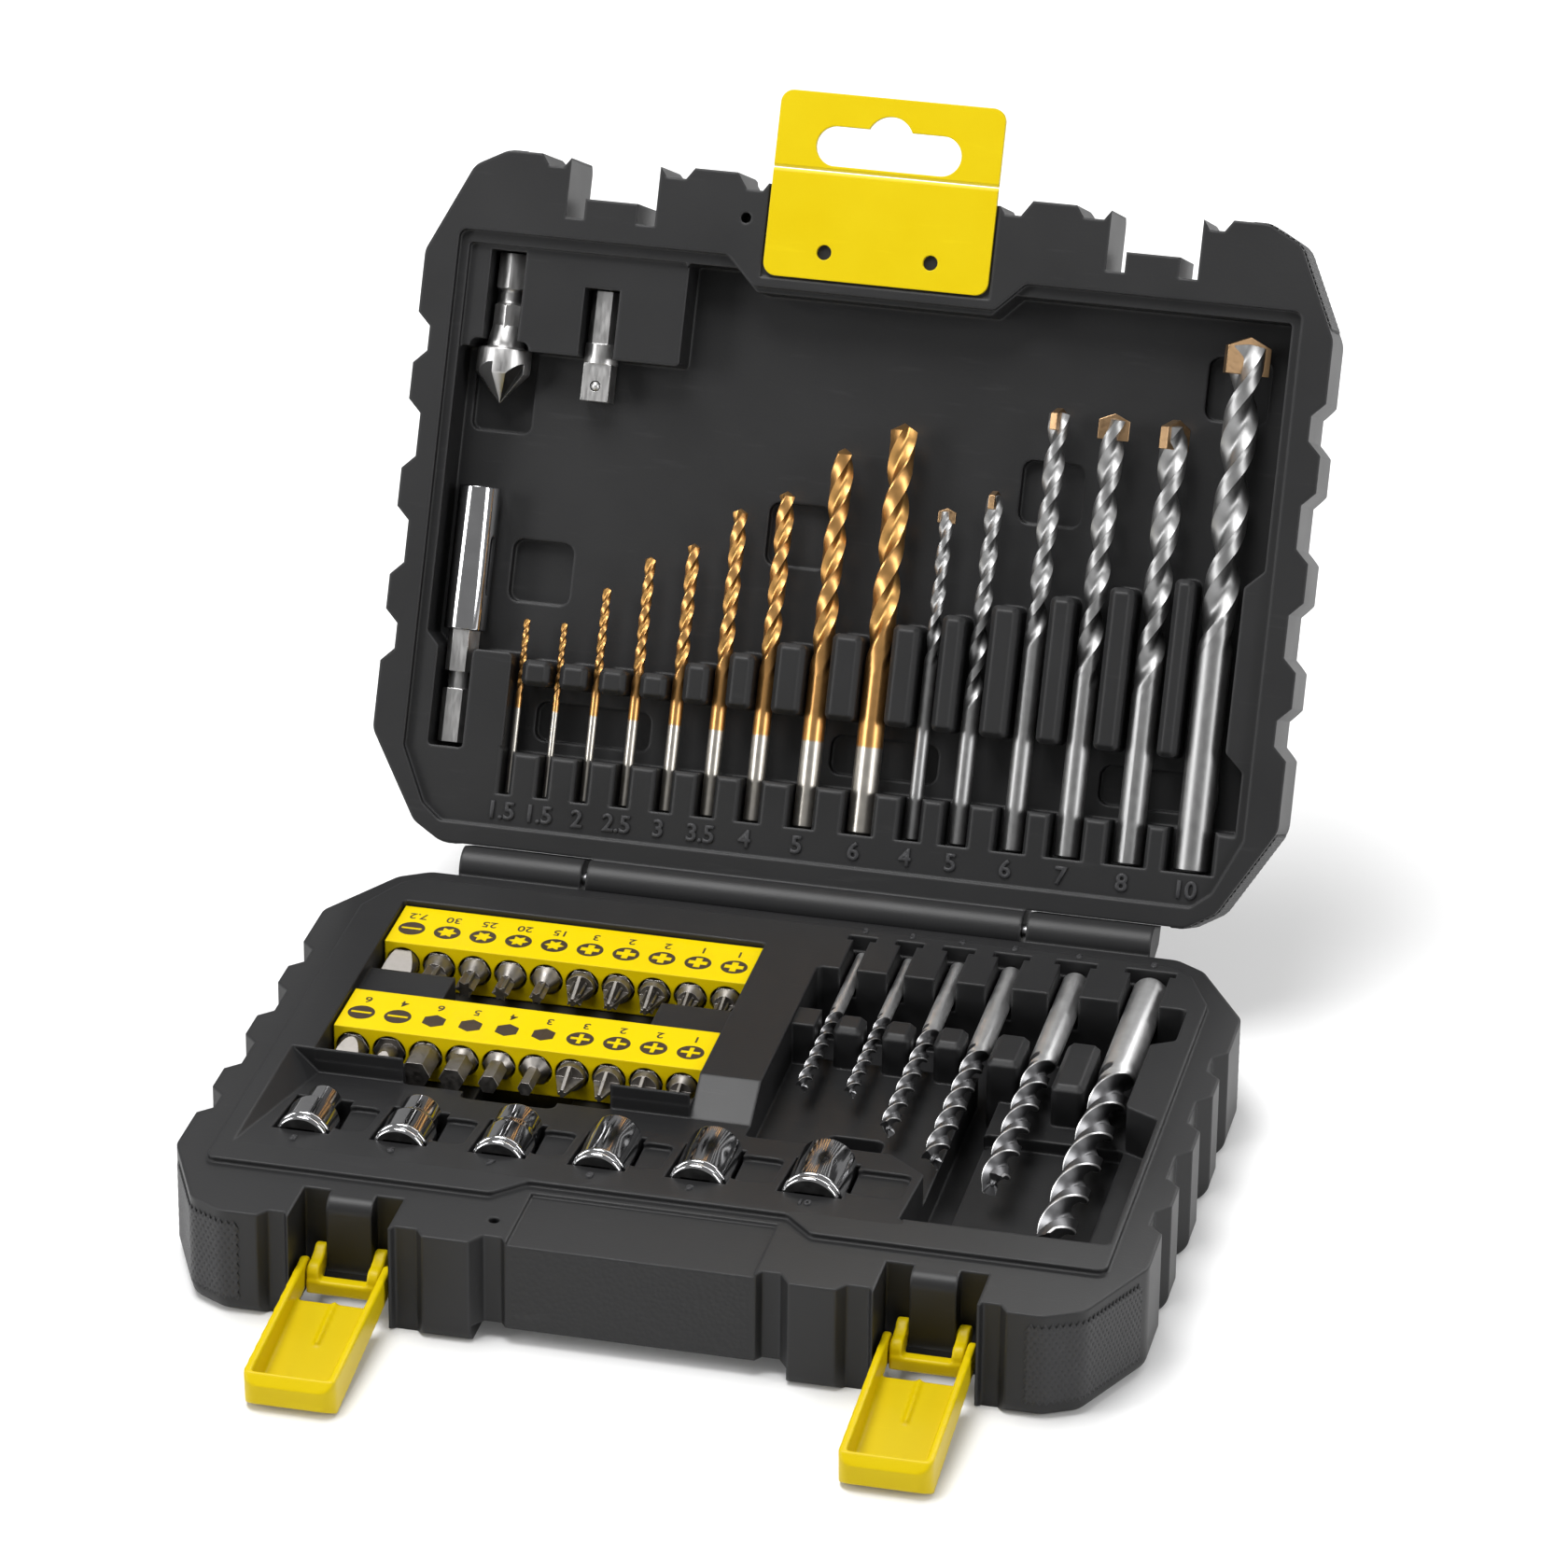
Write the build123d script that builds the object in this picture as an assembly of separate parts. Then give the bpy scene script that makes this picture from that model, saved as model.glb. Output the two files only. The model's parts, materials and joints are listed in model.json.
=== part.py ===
from build123d import *
from math import asin, atan2, cos, degrees, hypot, radians, sin
import os

os.makedirs("parts", exist_ok=True)

# A blow-moulded drill bit case, shown open, with its tools seated.
# Frame: millimetres, +Z up, origin under the middle of the base, hinge along X at the rear (+Y).
# The lid and all that it carries are modelled closed, then turned open about the hinge axis.

# ---- Case halves ----
CASE_WIDTH = 208.6          # over the side ribs
CASE_DEPTH = 157.5          # front rim edge to rear rim edge
BASE_HEIGHT = 24.5
LID_HEIGHT = 22.0
PARTING_GAP = 0.3           # between the rims when shut
FRONT_CORNER = (17.0, 24.3)  # corner cut, along the front and along the side
REAR_CORNER = (18.5, 23.7)
CORNER_BULGE = 4.0          # how far the corner's middle point stands out
OUTER_EDGE_RADIUS = 3.0
RIB_GROOVE_DEPTH = 3.0      # grooves that leave the ribs on the sides
RIB_GROOVES = ((-34.5, 5.6), (-12.5, 9.8), (11.9, 9.6), (33.5, 5.8))  # centre y, width at bottom
SHOULDER_RELIEF = 2.6       # front edge set back beside the latches and the tab
HANDLE_HALF_WIDTH = 25.6
HANDLE_RELIEF = 1.8
HANDLE_GROOVE_WIDTH = 8.0
HANDLE_LIFT = 4.0           # underside of the handle above the resting face
HANDLE_REACH = 14.0
MOULD_HOLE_RADIUS = 1.2
MOULD_HOLE_X = 31.0
MOULD_HOLE_INSET = 10.0     # from the front edge
MOULD_HOLE_DEPTH = 6.0

# ---- Tray decks ----
DECK_INSET_SIDE = 7.5       # from the outside of the ribs to the deck
DECK_INSET_FRONT = 18.6
DECK_INSET_REAR = 4.7
DECK_JOG = 6.5              # the deck steps back behind the hang tab
DECK_JOG_HALF_WIDTH = 31.0
LIP_HEIGHT = 1.2            # base deck above the rim
LIP_GAP = 0.5               # lip to the lid's recess, all round
LID_DECK_DEPTH = 2.0
POCKET_RADIUS = 2.0
SEAT_GAP = 0.3              # a tool to the moulding under it
CRADLE_GAP = 0.4            # a tool to the moulding beside it

# ---- Hinge ----
HINGE_BEHIND = 4.8          # axis behind the rear rim edge
OPEN_ANGLE = 116.25
KNUCKLE_RADIUS = 4.5
MIDDLE_KNUCKLE_HALF = 50.0
KNUCKLE_GAP = 1.3
OUTER_KNUCKLE_LENGTH = 28.2
KNUCKLE_WEB_DROP = 5.0      # web below the barrel
PIN_RADIUS = 1.5
PIN_GAP = 0.05
PIN_END_COVER = 2.0

# ---- Latches ----
LATCH_X = 62.2
RECESS_BACK = 13.9          # latch recess depth from the front edge
BASE_RECESS_HALF = 10.8
LID_RECESS_HALF = 10.4
TONGUE_REACH = 4.6          # tongues stand out from the recess back
BASE_TONGUE_HALF = 4.9
LID_TONGUE_HALF = 6.1
BASE_TONGUE_HEIGHT = 17.6
TONGUE_TOP_RADIUS = 3.0
TONGUE_FOOT_RADIUS = 1.5
LINK_PIVOT_DROP = 14.0      # tongue pivot below the base rim
LINK_PIVOT_INSET = 1.8      # tongue pivot behind the tongue's front
LINK_LENGTH = 5.2           # between the link's two pivots
LINK_OPEN = 17.0            # link direction below level, pointing outward, case open
LINK_SHUT = 78.0            # the same with the latch shut
LINK_EYE_RADIUS = 2.5
LINK_EAR_THICKNESS = 2.6
LINK_SIDE_GAP = 0.3
LINK_BAR = (3.0, 3.2)       # crossbar section
LINK_BAR_ALONG = 2.0        # crossbar centre beyond the lever pivot
LINK_BAR_BELOW = 1.8
LATCH_PIN_RADIUS = 1.2
LATCH_PIN_GAP = 0.08
LEVER_WALL = 1.7
LEVER_EYE_RADIUS = 3.0
LEVER_LENGTH = 43.0         # pivot to the closed end
LEVER_END_WALL = 2.6
LEVER_END_DEPTH = 5.6       # back of the lever below the pivot line at the closed end
LEVER_FLOOR = 1.5
LEVER_CORNER = 3.0          # rounding of the closed end
LEVER_WINDOW = 8.0          # open length beside the link
LEVER_RIB = (0.5, 14.0)     # rib height and length inside the channel
HOOK_GAP = 0.4
FLOOR_GAP = 0.2             # resting lever end above the table

# ---- Hang tab ----
TAB_WIDTH = 51.6
TAB_THICKNESS = 1.2
TAB_REAR_INSET = 22.3       # rear edge behind the front rim edge
TAB_CREASE_OUT = 2.1        # crease in front of the front rim edge
TAB_FLAP_LENGTH = 17.6
TAB_SEAT_DEPTH = 0.7
TAB_CORNER = 3.0
TAB_HOLE_RADIUS = 1.7
TAB_HOLE_X = 12.2
TAB_HOLE_INSET = 6.2
CREASE_HALF_GAP = 0.12
CREASE_HALF_WEB = 0.1
CREASE_BEVEL = 40.0
HANG_SLOT_WIDTH = 33.3
HANG_SLOT_HEIGHT = 9.0
HANG_SLOT_FROM_CREASE = 5.8
HANG_HUMP_RADIUS = 5.4
HANG_HUMP_SHIFT = 2.3

# ---- Bit racks and screwdriver bits ----
RACK_LENGTH = 82.4
RACK_CENTRE_X = -45.7
RACK_DEPTH = 17.2
RACK_HEIGHT = 11.0
RACK_REAR_EDGES = (61.5, 21.2)
RACK_HOLE_RADIUS = 3.8
RACK_HOLE_DEPTH = 16.4
RACK_HOLE_DROP = 5.0        # hole centre below the rack top
RACK_PITCH = 8.22
RACK_WALL_GAP = 0.5
BIT_HEX = 6.35
BIT_LENGTH = 25.0
BIT_REACH = 8.8             # length standing out of the rack
SLOT_BLADE = 0.9            # thickness of the flat blades
BIT_ROOM = 0.9              # bit tips to the pocket wall
LEDGE_DROP = 1.8            # moulding between and before the racks, below the base rim
LIP_THICKNESS = 3.0         # lip in front of the forward rack's bits
LIP_BREAK = (-68.0, -21.0)  # the ledge and the lip are open between these x
TRENCH = (-54.0, -33.0, -13.5, 38.5)  # finger trench across both rack pockets
TRENCH_DEPTH = 16.0

# ---- Sockets ----
SOCKET_X = (-80.8, -59.4, -37.8, -16.2, 5.3, 29.8)
SOCKET_FRONT_Y = -42.0
SOCKET_LENGTH = 19.0
SOCKET_SHOULDER = (10.5, 12.5)  # start and end of the shoulder, from the drive end
SOCKET_DROP = 3.1           # axis below the base rim
SOCKET_DECK = (-92.5, -52.0, -9.0)  # left edge x, front edge y and rear edge y of the sloped deck
SOCKET_DECK_FALL = 5.9      # the deck sinks this much from front to rear
SOCKET_DECK_BANK = 6.0      # its left wall leans out this far
BLOCK_SLOPE_Y = 0.4         # rear end of the slope between the front rack and the drill bay
SQUARE_DRIVE = 6.35
DRIVE_DEPTH = 8.0
WELL_RIB = 2.2              # moulding left between a finger recess and the next socket
WELL_Y = (-39.0, -25.0)
WELL_DEPTH = 3.8
LAST_WELL = 12.0            # width of the finger recess after the last socket

# ---- Wood drills in the base ----
WOOD_DRILLS = (             # node, diameter, length, spiral length, x
    ("wood_drill_3_left", 3.0, 61.0, 35.0, 16.4),
    ("wood_drill_3_right", 3.0, 61.0, 35.0, 27.1),
    ("wood_drill_4", 4.0, 75.0, 46.0, 38.3),
    ("wood_drill_5", 5.0, 86.0, 50.0, 50.3),
    ("wood_drill_6", 6.0, 93.0, 56.0, 64.8),
    ("wood_drill_8", 8.0, 117.0, 78.0, 81.6),
)
WOOD_SHANK_Y = 69.7         # shank ends
WOOD_DROP = 4.0             # drill axes below the base rim
WOOD_BLOCKS = (29.5, 29.0, 28.5, 23.5, 16.0)  # front edges of the standing blocks
WOOD_BLOCK_REAR = 37.0
WOOD_BLOCK_WIDTHS = (6.3, 6.4, 6.4, 7.2, 7.2)
BAY_LEFT = 9.5
BAY_REAR = 54.5
BAY_RIGHT_REAR = 92.5
BAY_RIGHT_NARROW = 87.4
BAY_RIGHT_FRONT = 95.0
BAY_FRONT = -49.5
BAY_LEFT_FRONT = -15.0
BAY_STEP_X = 50.5
GUTTER_WIDTH = 6.5
BAY_DEPTHS = (10.0, 13.0, 17.0)  # left floor, right floor, gutters
FINGER_PIT = (24.5, 37.0, -11.5, 0.5)
FINGER_PIT_DEPTH = 18.0
SHANK_TEE = (1.3, 1.8, 2.6)  # extra half width, length and depth of each slot's end

# ---- Drills in the lid ----
TWIST_DRILLS = (            # node, diameter, length, spiral length, x over the cavity's half width
    ("twist_drill_1_5", 1.5, 40.0, 18.0, (-0.7706, -0.6776)),
    ("twist_drill_2", 2.0, 49.0, 24.0, (-0.5825,)),
    ("twist_drill_2_5", 2.5, 57.0, 30.0, (-0.4841,)),
    ("twist_drill_3", 3.0, 61.0, 33.0, (-0.3816,)),
    ("twist_drill_3_5", 3.5, 70.0, 39.0, (-0.2780,)),
    ("twist_drill_4", 4.0, 75.0, 43.0, (-0.1691,)),
    ("twist_drill_5", 5.0, 86.0, 52.0, (-0.0423,)),
    ("twist_drill_6", 6.0, 93.0, 57.0, (0.0962,)),
)
MASONRY_DRILLS = (
    ("masonry_drill_4", 4.0, 75.0, 36.0, (0.2220,)),
    ("masonry_drill_5", 5.0, 80.0, 50.0, (0.3319,)),
    ("masonry_drill_6", 6.0, 100.0, 55.0, (0.4641,)),
    ("masonry_drill_7", 7.0, 100.0, 62.0, (0.5973,)),
    ("masonry_drill_8", 8.0, 100.0, 62.0, (0.7442,)),
    ("masonry_drill_10", 10.0, 120.0, 72.0, (0.8953,)),
)
LID_SHANK_Y = 66.3
LID_TOOL_DEPTH = 7.5        # drill axes from the lid's rim plane
LID_FLOOR_DEPTH = 14.0
LID_SLOT_FRONT = 56.8
LID_BLOCK_REAR = 41.5
LID_BLOCK_FRONT = 35.5      # first blocks; the later ones grow forward
LID_BLOCK_GROWTH = 3.4
LID_EQUAL_BLOCKS = 4
LID_CAVITY_SIDE = 94.6      # half width of the deep part
LID_CAVITY_STEP = 4.2       # how much narrower it is beside the largest drill
LID_CAVITY_FRONT = -57.4
DIMPLE_SIZE = 14.4
DIMPLE_DEPTH = 17.0
LID_DIMPLES = (             # centre x over the cavity's half width, centre y, width, length
    (-0.7664, 15.5, DIMPLE_SIZE, DIMPLE_SIZE),
    (-0.1469, 1.0, DIMPLE_SIZE, DIMPLE_SIZE),
    (0.4545, -14.5, DIMPLE_SIZE, DIMPLE_SIZE),
    (0.8732, -41.8, DIMPLE_SIZE, DIMPLE_SIZE),
    (-0.5973, 49.2, 27.0, 9.0),
    (0.1216, 49.2, 25.0, 9.0),
    (0.7875, 49.2, 27.0, 9.0),
)
BLOCK_EASE = 1.2            # bevel round the tops of the standing blocks
SLOT_EASE = 0.8             # bevel along the shank slots

# ---- Drill forms ----
SPIRAL_STEP = 60.0          # degrees between the facets along a spiral
LAND_HALF_ANGLE = 30.0
TWIST_PITCH = 3.7           # spiral pitch over diameter
MASONRY_PITCH = 3.1
WOOD_PITCH = 2.9
WEB_SHARE = 0.5             # web radius over drill radius
WOOD_WEB_SHARE = 0.42
MASONRY_BODY_SHARE = 0.78   # body and shank over the width of the carbide plate
CARBIDE_THICKNESS_SHARE = 0.28
CARBIDE_LENGTH_SHARE = 0.85

# ---- Countersink, adaptor and bit holder in the lid ----
ACCESSORY_DEPTH = 10.0      # axes from the lid's rim plane
COUNTERSINK_WALL_GAP = 2.8
COUNTERSINK_END_Y = -56.0
COUNTERSINK_RADIUS = 6.2
COUNTERSINK_LENGTH = 34.5
COUNTERSINK_SHANK = 21.5
COUNTERSINK_RIM = 3.0
COUNTERSINK_FLARE = (4.0, 3.5)  # radius and length where the shank widens to the head
ADAPTOR_X = -63.0
ADAPTOR_END_Y = -49.4
ADAPTOR_LENGTH = 25.0
ADAPTOR_SQUARE = 8.5
ADAPTOR_COLLAR = (3.9, 4.5)  # radius and length of the round collar before the square
BALL_RADIUS = 1.2
BALL_FROM_END = 3.4
BALL_PROUD = 0.5
ACCESSORY_BLOCK = (-43.5, -34.0)  # right edge x, rear edge y of the block that holds them
ACCESSORY_DECK_DEPTH = 3.6
HEX_SLOT_HALF = 4.1
HOLDER_WALL_GAP = 2.2
HOLDER_FRONT_Y = -2.5
HOLDER_SLEEVE = (4.8, 33.0)  # radius, length
HOLDER_SHANK = 25.7
HOLDER_DEPTH = 8.9
HOLDER_SOCKET_DEPTH = 12.0
MAGNET = (2.4, 4.0)         # radius, length
GROOVE_RADIUS = 2.4
GROOVE_LENGTH = 4.0
GROOVE_FROM_END = 9.5

HALF = CASE_WIDTH / 2
FRONT = -CASE_DEPTH / 2
REAR = CASE_DEPTH / 2
RIM = BASE_HEIGHT
LID_RIM = BASE_HEIGHT + PARTING_GAP
LID_TOP = LID_RIM + LID_HEIGHT
HINGE_Y = REAR + HINGE_BEHIND
HINGE_Z = RIM + PARTING_GAP / 2
RECESS_Y = FRONT + RECESS_BACK
TONGUE_Y = RECESS_Y - TONGUE_REACH
TAB_REAR = FRONT + TAB_REAR_INSET
TAB_CREASE = FRONT - TAB_CREASE_OUT
HOLDER_X = -(LID_CAVITY_SIDE - HOLDER_WALL_GAP - HOLDER_SLEEVE[0])
COUNTERSINK_X = -(LID_CAVITY_SIDE - COUNTERSINK_WALL_GAP - COUNTERSINK_RADIUS)


def outline(points, radius=0.0):
    """A flat face from corner points, with its corners rounded."""
    face = make_face(Polyline(*points, close=True))
    return fillet(face.vertices(), radius) if radius else face


def mirrored(points):
    """The points of a right half, front to rear, followed by their mirror images."""
    return list(points) + [(-x, y) for x, y in reversed(points)]


def prism(face, low, high):
    return Pos(0, 0, low) * extrude(face, high - low)


def block(x0, x1, y0, y1, z0, z1, radius=0.0):
    """An upright block between two corners, its upright edges rounded."""
    corners = [(x0, y0), (x1, y0), (x1, y1), (x0, y1)]
    return prism(outline(corners, radius), z0, z1)


def side_prism(points, x0, x1, radius=0.0):
    """A (y, z) outline run along X."""
    return Pos(x0, 0, 0) * extrude(Plane.YZ * outline(points, radius), x1 - x0)


def front_prism(points, y0, y1, radius=0.0):
    """An (x, z) outline run along Y."""
    return Pos(0, y0, 0) * extrude(Plane.XZ * outline(points, radius), y0 - y1)


def eased_block(x0, x1, y0, y1, z0, z1, top_last):
    """A standing block with rounded upright edges and a bevel round its top, or its lowest face."""
    solid = block(x0, x1, y0, y1, z0, z1, BLOCK_EASE + 0.3)
    rim = solid.edges().group_by(Axis.Z)[-1 if top_last else 0]
    return chamfer(rim, BLOCK_EASE)


def rod(radius, x0, x1, y, z):
    """A round bar along X."""
    return Pos((x0 + x1) / 2, y, z) * Rot(Y=90) * Cylinder(radius, x1 - x0)


def lay_forward(tool, x, y, z):
    """Lay a tool, built upward from its shank end, along -Y from (x, y, z)."""
    return Pos(x, y, z) * Rot(X=90) * tool


def lay_back(tool, x, y, z):
    """The same, along +Y."""
    return Pos(x, y, z) * Rot(X=-90) * tool


def open_lid(shape):
    """Turn a piece of the shut lid to where it stands with the lid open."""
    return Pos(0, HINGE_Y, HINGE_Z) * Rot(X=-OPEN_ANGLE) * Pos(0, -HINGE_Y, -HINGE_Z) * shape


# ---- Shared outlines ----
def case_outline():
    """The rim outline that the base and the lid share."""
    front_cut, front_rise = FRONT_CORNER
    rear_cut, rear_rise = REAR_CORNER
    right = [
        (HALF - front_cut, FRONT),
        (HALF - front_cut / 2 - 1, FRONT + CORNER_BULGE),
        (HALF, FRONT + front_rise),
        (HALF, REAR - rear_rise),
        (HALF - rear_cut * 0.64, REAR - CORNER_BULGE),
        (HALF - rear_cut, REAR),
    ]
    return outline(mirrored(right), 5.0)


def deck_outline(inset):
    """The tray deck, inset from the lid's recess edge, with the step behind the hang tab."""
    side = HALF - DECK_INSET_SIDE - inset
    front = FRONT + DECK_INSET_FRONT + inset
    rear = REAR - DECK_INSET_REAR - inset
    right = [
        (DECK_JOG_HALF_WIDTH - DECK_JOG / 2, front + DECK_JOG),
        (DECK_JOG_HALF_WIDTH + DECK_JOG / 2, front),
        (side, front),
        (side, rear - 16.0),
        (side - 5.8, rear - 3.6),
        (side - 10.3, rear),
    ]
    return outline(mirrored(right), POCKET_RADIUS)


def rim_cuts(low, high):
    """Everything cut from a half's outer wall: rib grooves, front reliefs and handle grooves."""
    cuts = []
    for y, width in RIB_GROOVES:
        deep, wide = width / 2, width / 2 + RIB_GROOVE_DEPTH + 1
        for side in (1, -1):
            points = [
                (side * (HALF - RIB_GROOVE_DEPTH), y - deep),
                (side * (HALF - RIB_GROOVE_DEPTH), y + deep),
                (side * (HALF + 1), y + wide),
                (side * (HALF + 1), y - wide),
            ]
            cuts.append(prism(outline(points), low, high))
    ridge_in = HANDLE_HALF_WIDTH + HANDLE_GROOVE_WIDTH
    ridge_out = ridge_in + 10.5
    for side in (1, -1):
        spans = [
            (HANDLE_HALF_WIDTH, ridge_in, SHOULDER_RELIEF + 1),
            (ridge_out, LATCH_X - LID_RECESS_HALF, SHOULDER_RELIEF),
            (LATCH_X + LID_RECESS_HALF, LATCH_X + LID_RECESS_HALF + 6.5, SHOULDER_RELIEF),
        ]
        for x0, x1, relief in spans:
            points = [
                (side * (x0 + relief * 0.6), FRONT + relief),
                (side * (x1 - relief * 0.6), FRONT + relief),
                (side * (x1 + 1), FRONT - 1),
                (side * (x0 - 1), FRONT - 1),
            ]
            cuts.append(prism(outline(points), low, high))
    handle = [
        (-HANDLE_HALF_WIDTH - 1, FRONT - 1),
        (HANDLE_HALF_WIDTH + 1, FRONT - 1),
        (HANDLE_HALF_WIDTH + 1, FRONT + HANDLE_RELIEF),
        (-HANDLE_HALF_WIDTH - 1, FRONT + HANDLE_RELIEF),
    ]
    cuts.append(prism(outline(handle), low, high))
    return cuts


def tab_seat(low, high):
    """The shallow seat of the hang tab in a rim."""
    half = TAB_WIDTH / 2 + 0.5
    return block(-half, half, FRONT - 1, TAB_REAR + 0.5, low, high)


def mould_hole(low, high):
    place = Pos(-MOULD_HOLE_X, FRONT + MOULD_HOLE_INSET, (low + high) / 2)
    return place * Cylinder(MOULD_HOLE_RADIUS, high - low)


# ---- Latch places ----
LINK_PIVOT_Y = TONGUE_Y + LINK_PIVOT_INSET
LINK_PIVOT_Z = RIM - LINK_PIVOT_DROP


def lever_pivot(angle):
    """Where the lever turns on the link, with the link pointing down by this angle."""
    y = LINK_PIVOT_Y - LINK_LENGTH * cos(radians(angle))
    z = LINK_PIVOT_Z - LINK_LENGTH * sin(radians(angle))
    return y, z


LEVER_Y, LEVER_Z = lever_pivot(LINK_OPEN)
SHUT_LEVER_Y, SHUT_LEVER_Z = lever_pivot(LINK_SHUT)
LEVER_HEEL = LEVER_LENGTH - 3.0   # where the back of the lever meets the table
LEVER_SLOPE = degrees(
    asin((LEVER_Z - FLOOR_GAP) / hypot(LEVER_HEEL, LEVER_END_DEPTH))
    - atan2(LEVER_END_DEPTH, LEVER_HEEL)
)
LID_TONGUE_TOP = SHUT_LEVER_Z + LEVER_LENGTH - LEVER_END_WALL - HOOK_GAP


# ---- Tool places ----
def lid_drills():
    """Every drill in the lid from left to right, as (diameter, x)."""
    return [(row[1], share * LID_CAVITY_SIDE) for row in TWIST_DRILLS + MASONRY_DRILLS for share in row[4]]


def lid_shank_radii():
    """The shank radius of each drill in the lid, in the same order."""
    twist = [row[1] / 2 for row in TWIST_DRILLS for share in row[4]]
    return twist + [row[1] / 2 * MASONRY_BODY_SHARE for row in MASONRY_DRILLS]


def socket_profile(index):
    """Outer radius of the drive end and of the nose of each socket."""
    drive = (6.0, 6.0, 6.0, 6.0, 6.3, 6.7)[index]
    nose = (3.9, 4.6, 5.3, 6.0, 6.3, 6.7)[index]
    return drive, nose


def socket_bore(index):
    """Across flats of each socket's hexagon."""
    return 5.0 + index


# ---- Shells ----
def base_shell():
    """Lower half: rim, raised deck, rack pockets, socket troughs, drill bay and hinge knuckles."""
    body = extrude(case_outline(), BASE_HEIGHT)
    body = fillet(body.edges().group_by(Axis.Z)[0], OUTER_EDGE_RADIUS)
    body += prism(deck_outline(LIP_GAP), RIM - 1, RIM + LIP_HEIGHT)
    above = RIM + LIP_HEIGHT + 1
    body -= rim_cuts(-1, above)
    half = HANDLE_HALF_WIDTH + HANDLE_GROOVE_WIDTH
    body -= block(-half, half, FRONT - 1, FRONT + HANDLE_REACH, -1, HANDLE_LIFT)
    body -= tab_seat(RIM - TAB_SEAT_DEPTH, above)
    body -= mould_hole(RIM - MOULD_HOLE_DEPTH, above)
    body -= rack_pockets(above)
    body -= socket_troughs(above)
    body = body - drill_bay(above) + wood_blocks() - wood_slots(above)
    for x in (-LATCH_X, LATCH_X):
        body -= block(x - BASE_RECESS_HALF, x + BASE_RECESS_HALF, FRONT - 1, RECESS_Y, -1, above)
        body += base_tongue(x)
    for side in (-1, 1):
        body += outer_knuckle(side)
    return body - rod(PIN_RADIUS + PIN_GAP, -pin_half(), pin_half(), HINGE_Y, HINGE_Z)


def rack_pockets(above):
    """Two pockets for the bit racks and a finger trench that crosses them."""
    x0 = RACK_CENTRE_X - RACK_LENGTH / 2 - RACK_WALL_GAP
    x1 = RACK_CENTRE_X + RACK_LENGTH / 2 + RACK_WALL_GAP
    floor = RIM - RACK_HEIGHT - SEAT_GAP
    cuts = []
    for rear in RACK_REAR_EDGES:
        front = rear - RACK_DEPTH - BIT_REACH - BIT_ROOM
        cuts.append(block(x0, x1, front, rear + RACK_WALL_GAP, floor, above, 1.0))
    lip_front = front - LIP_THICKNESS
    cuts.append(block(x0, x1, lip_front, max(RACK_REAR_EDGES), RIM - LEDGE_DROP, above))
    break_rear = max(RACK_REAR_EDGES) - RACK_DEPTH
    cuts.append(block(*LIP_BREAK, lip_front - 1, break_rear, floor + 1, above, POCKET_RADIUS))
    cuts.append(block(*TRENCH, RIM - TRENCH_DEPTH, above, POCKET_RADIUS))
    return cuts


def sloped_deck(above):
    """The deck round the sockets, which sinks toward the racks, with a leaning wall at its left end."""
    left, front, rear = SOCKET_DECK
    top = RIM + LIP_HEIGHT
    low = top - SOCKET_DECK_FALL
    rack_side = RACK_CENTRE_X + RACK_LENGTH / 2 + RACK_WALL_GAP
    run = SOCKET_DECK_BANK * (above - low) / SOCKET_DECK_FALL
    wedge = [(front, above), (front, top), (rear, low), (rear, above)]
    bank = [(left, above), (left, top), (left + SOCKET_DECK_BANK, low), (left + run, low - 1),
            (rack_side, low - 1), (rack_side, above)]
    beside_racks = side_prism(wedge, left, rack_side) & front_prism(bank, front, rear)
    slope = [(front, above), (front, top), (rear, low), (BLOCK_SLOPE_Y, top), (BLOCK_SLOPE_Y, above)]
    return [beside_racks, side_prism(slope, rack_side, BAY_STEP_X + 1)]


def socket_troughs(above):
    """The sloped deck, a round-bottomed trough for each socket, and finger recesses between them."""
    rear = SOCKET_FRONT_Y + SOCKET_LENGTH
    cuts = sloped_deck(above)
    for index, x in enumerate(SOCKET_X):
        radius = socket_profile(index)[0] + SEAT_GAP
        front, back = SOCKET_FRONT_Y - SEAT_GAP, rear + SEAT_GAP
        cuts.append(
            Pos(x, (front + back) / 2, RIM - SOCKET_DROP) * Rot(X=90) * Cylinder(radius, back - front)
        )
        cuts.append(block(x - radius, x + radius, front, back, RIM - SOCKET_DROP, above))
    for index, x in enumerate(SOCKET_X):
        x0 = x + socket_profile(index)[0]
        x1 = x0 + LAST_WELL
        if index + 1 < len(SOCKET_X):
            x1 = SOCKET_X[index + 1] - socket_profile(index + 1)[0] - WELL_RIB
        cuts.append(block(x0, x1, *WELL_Y, RIM - WELL_DEPTH, above, POCKET_RADIUS))
    return cuts


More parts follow.
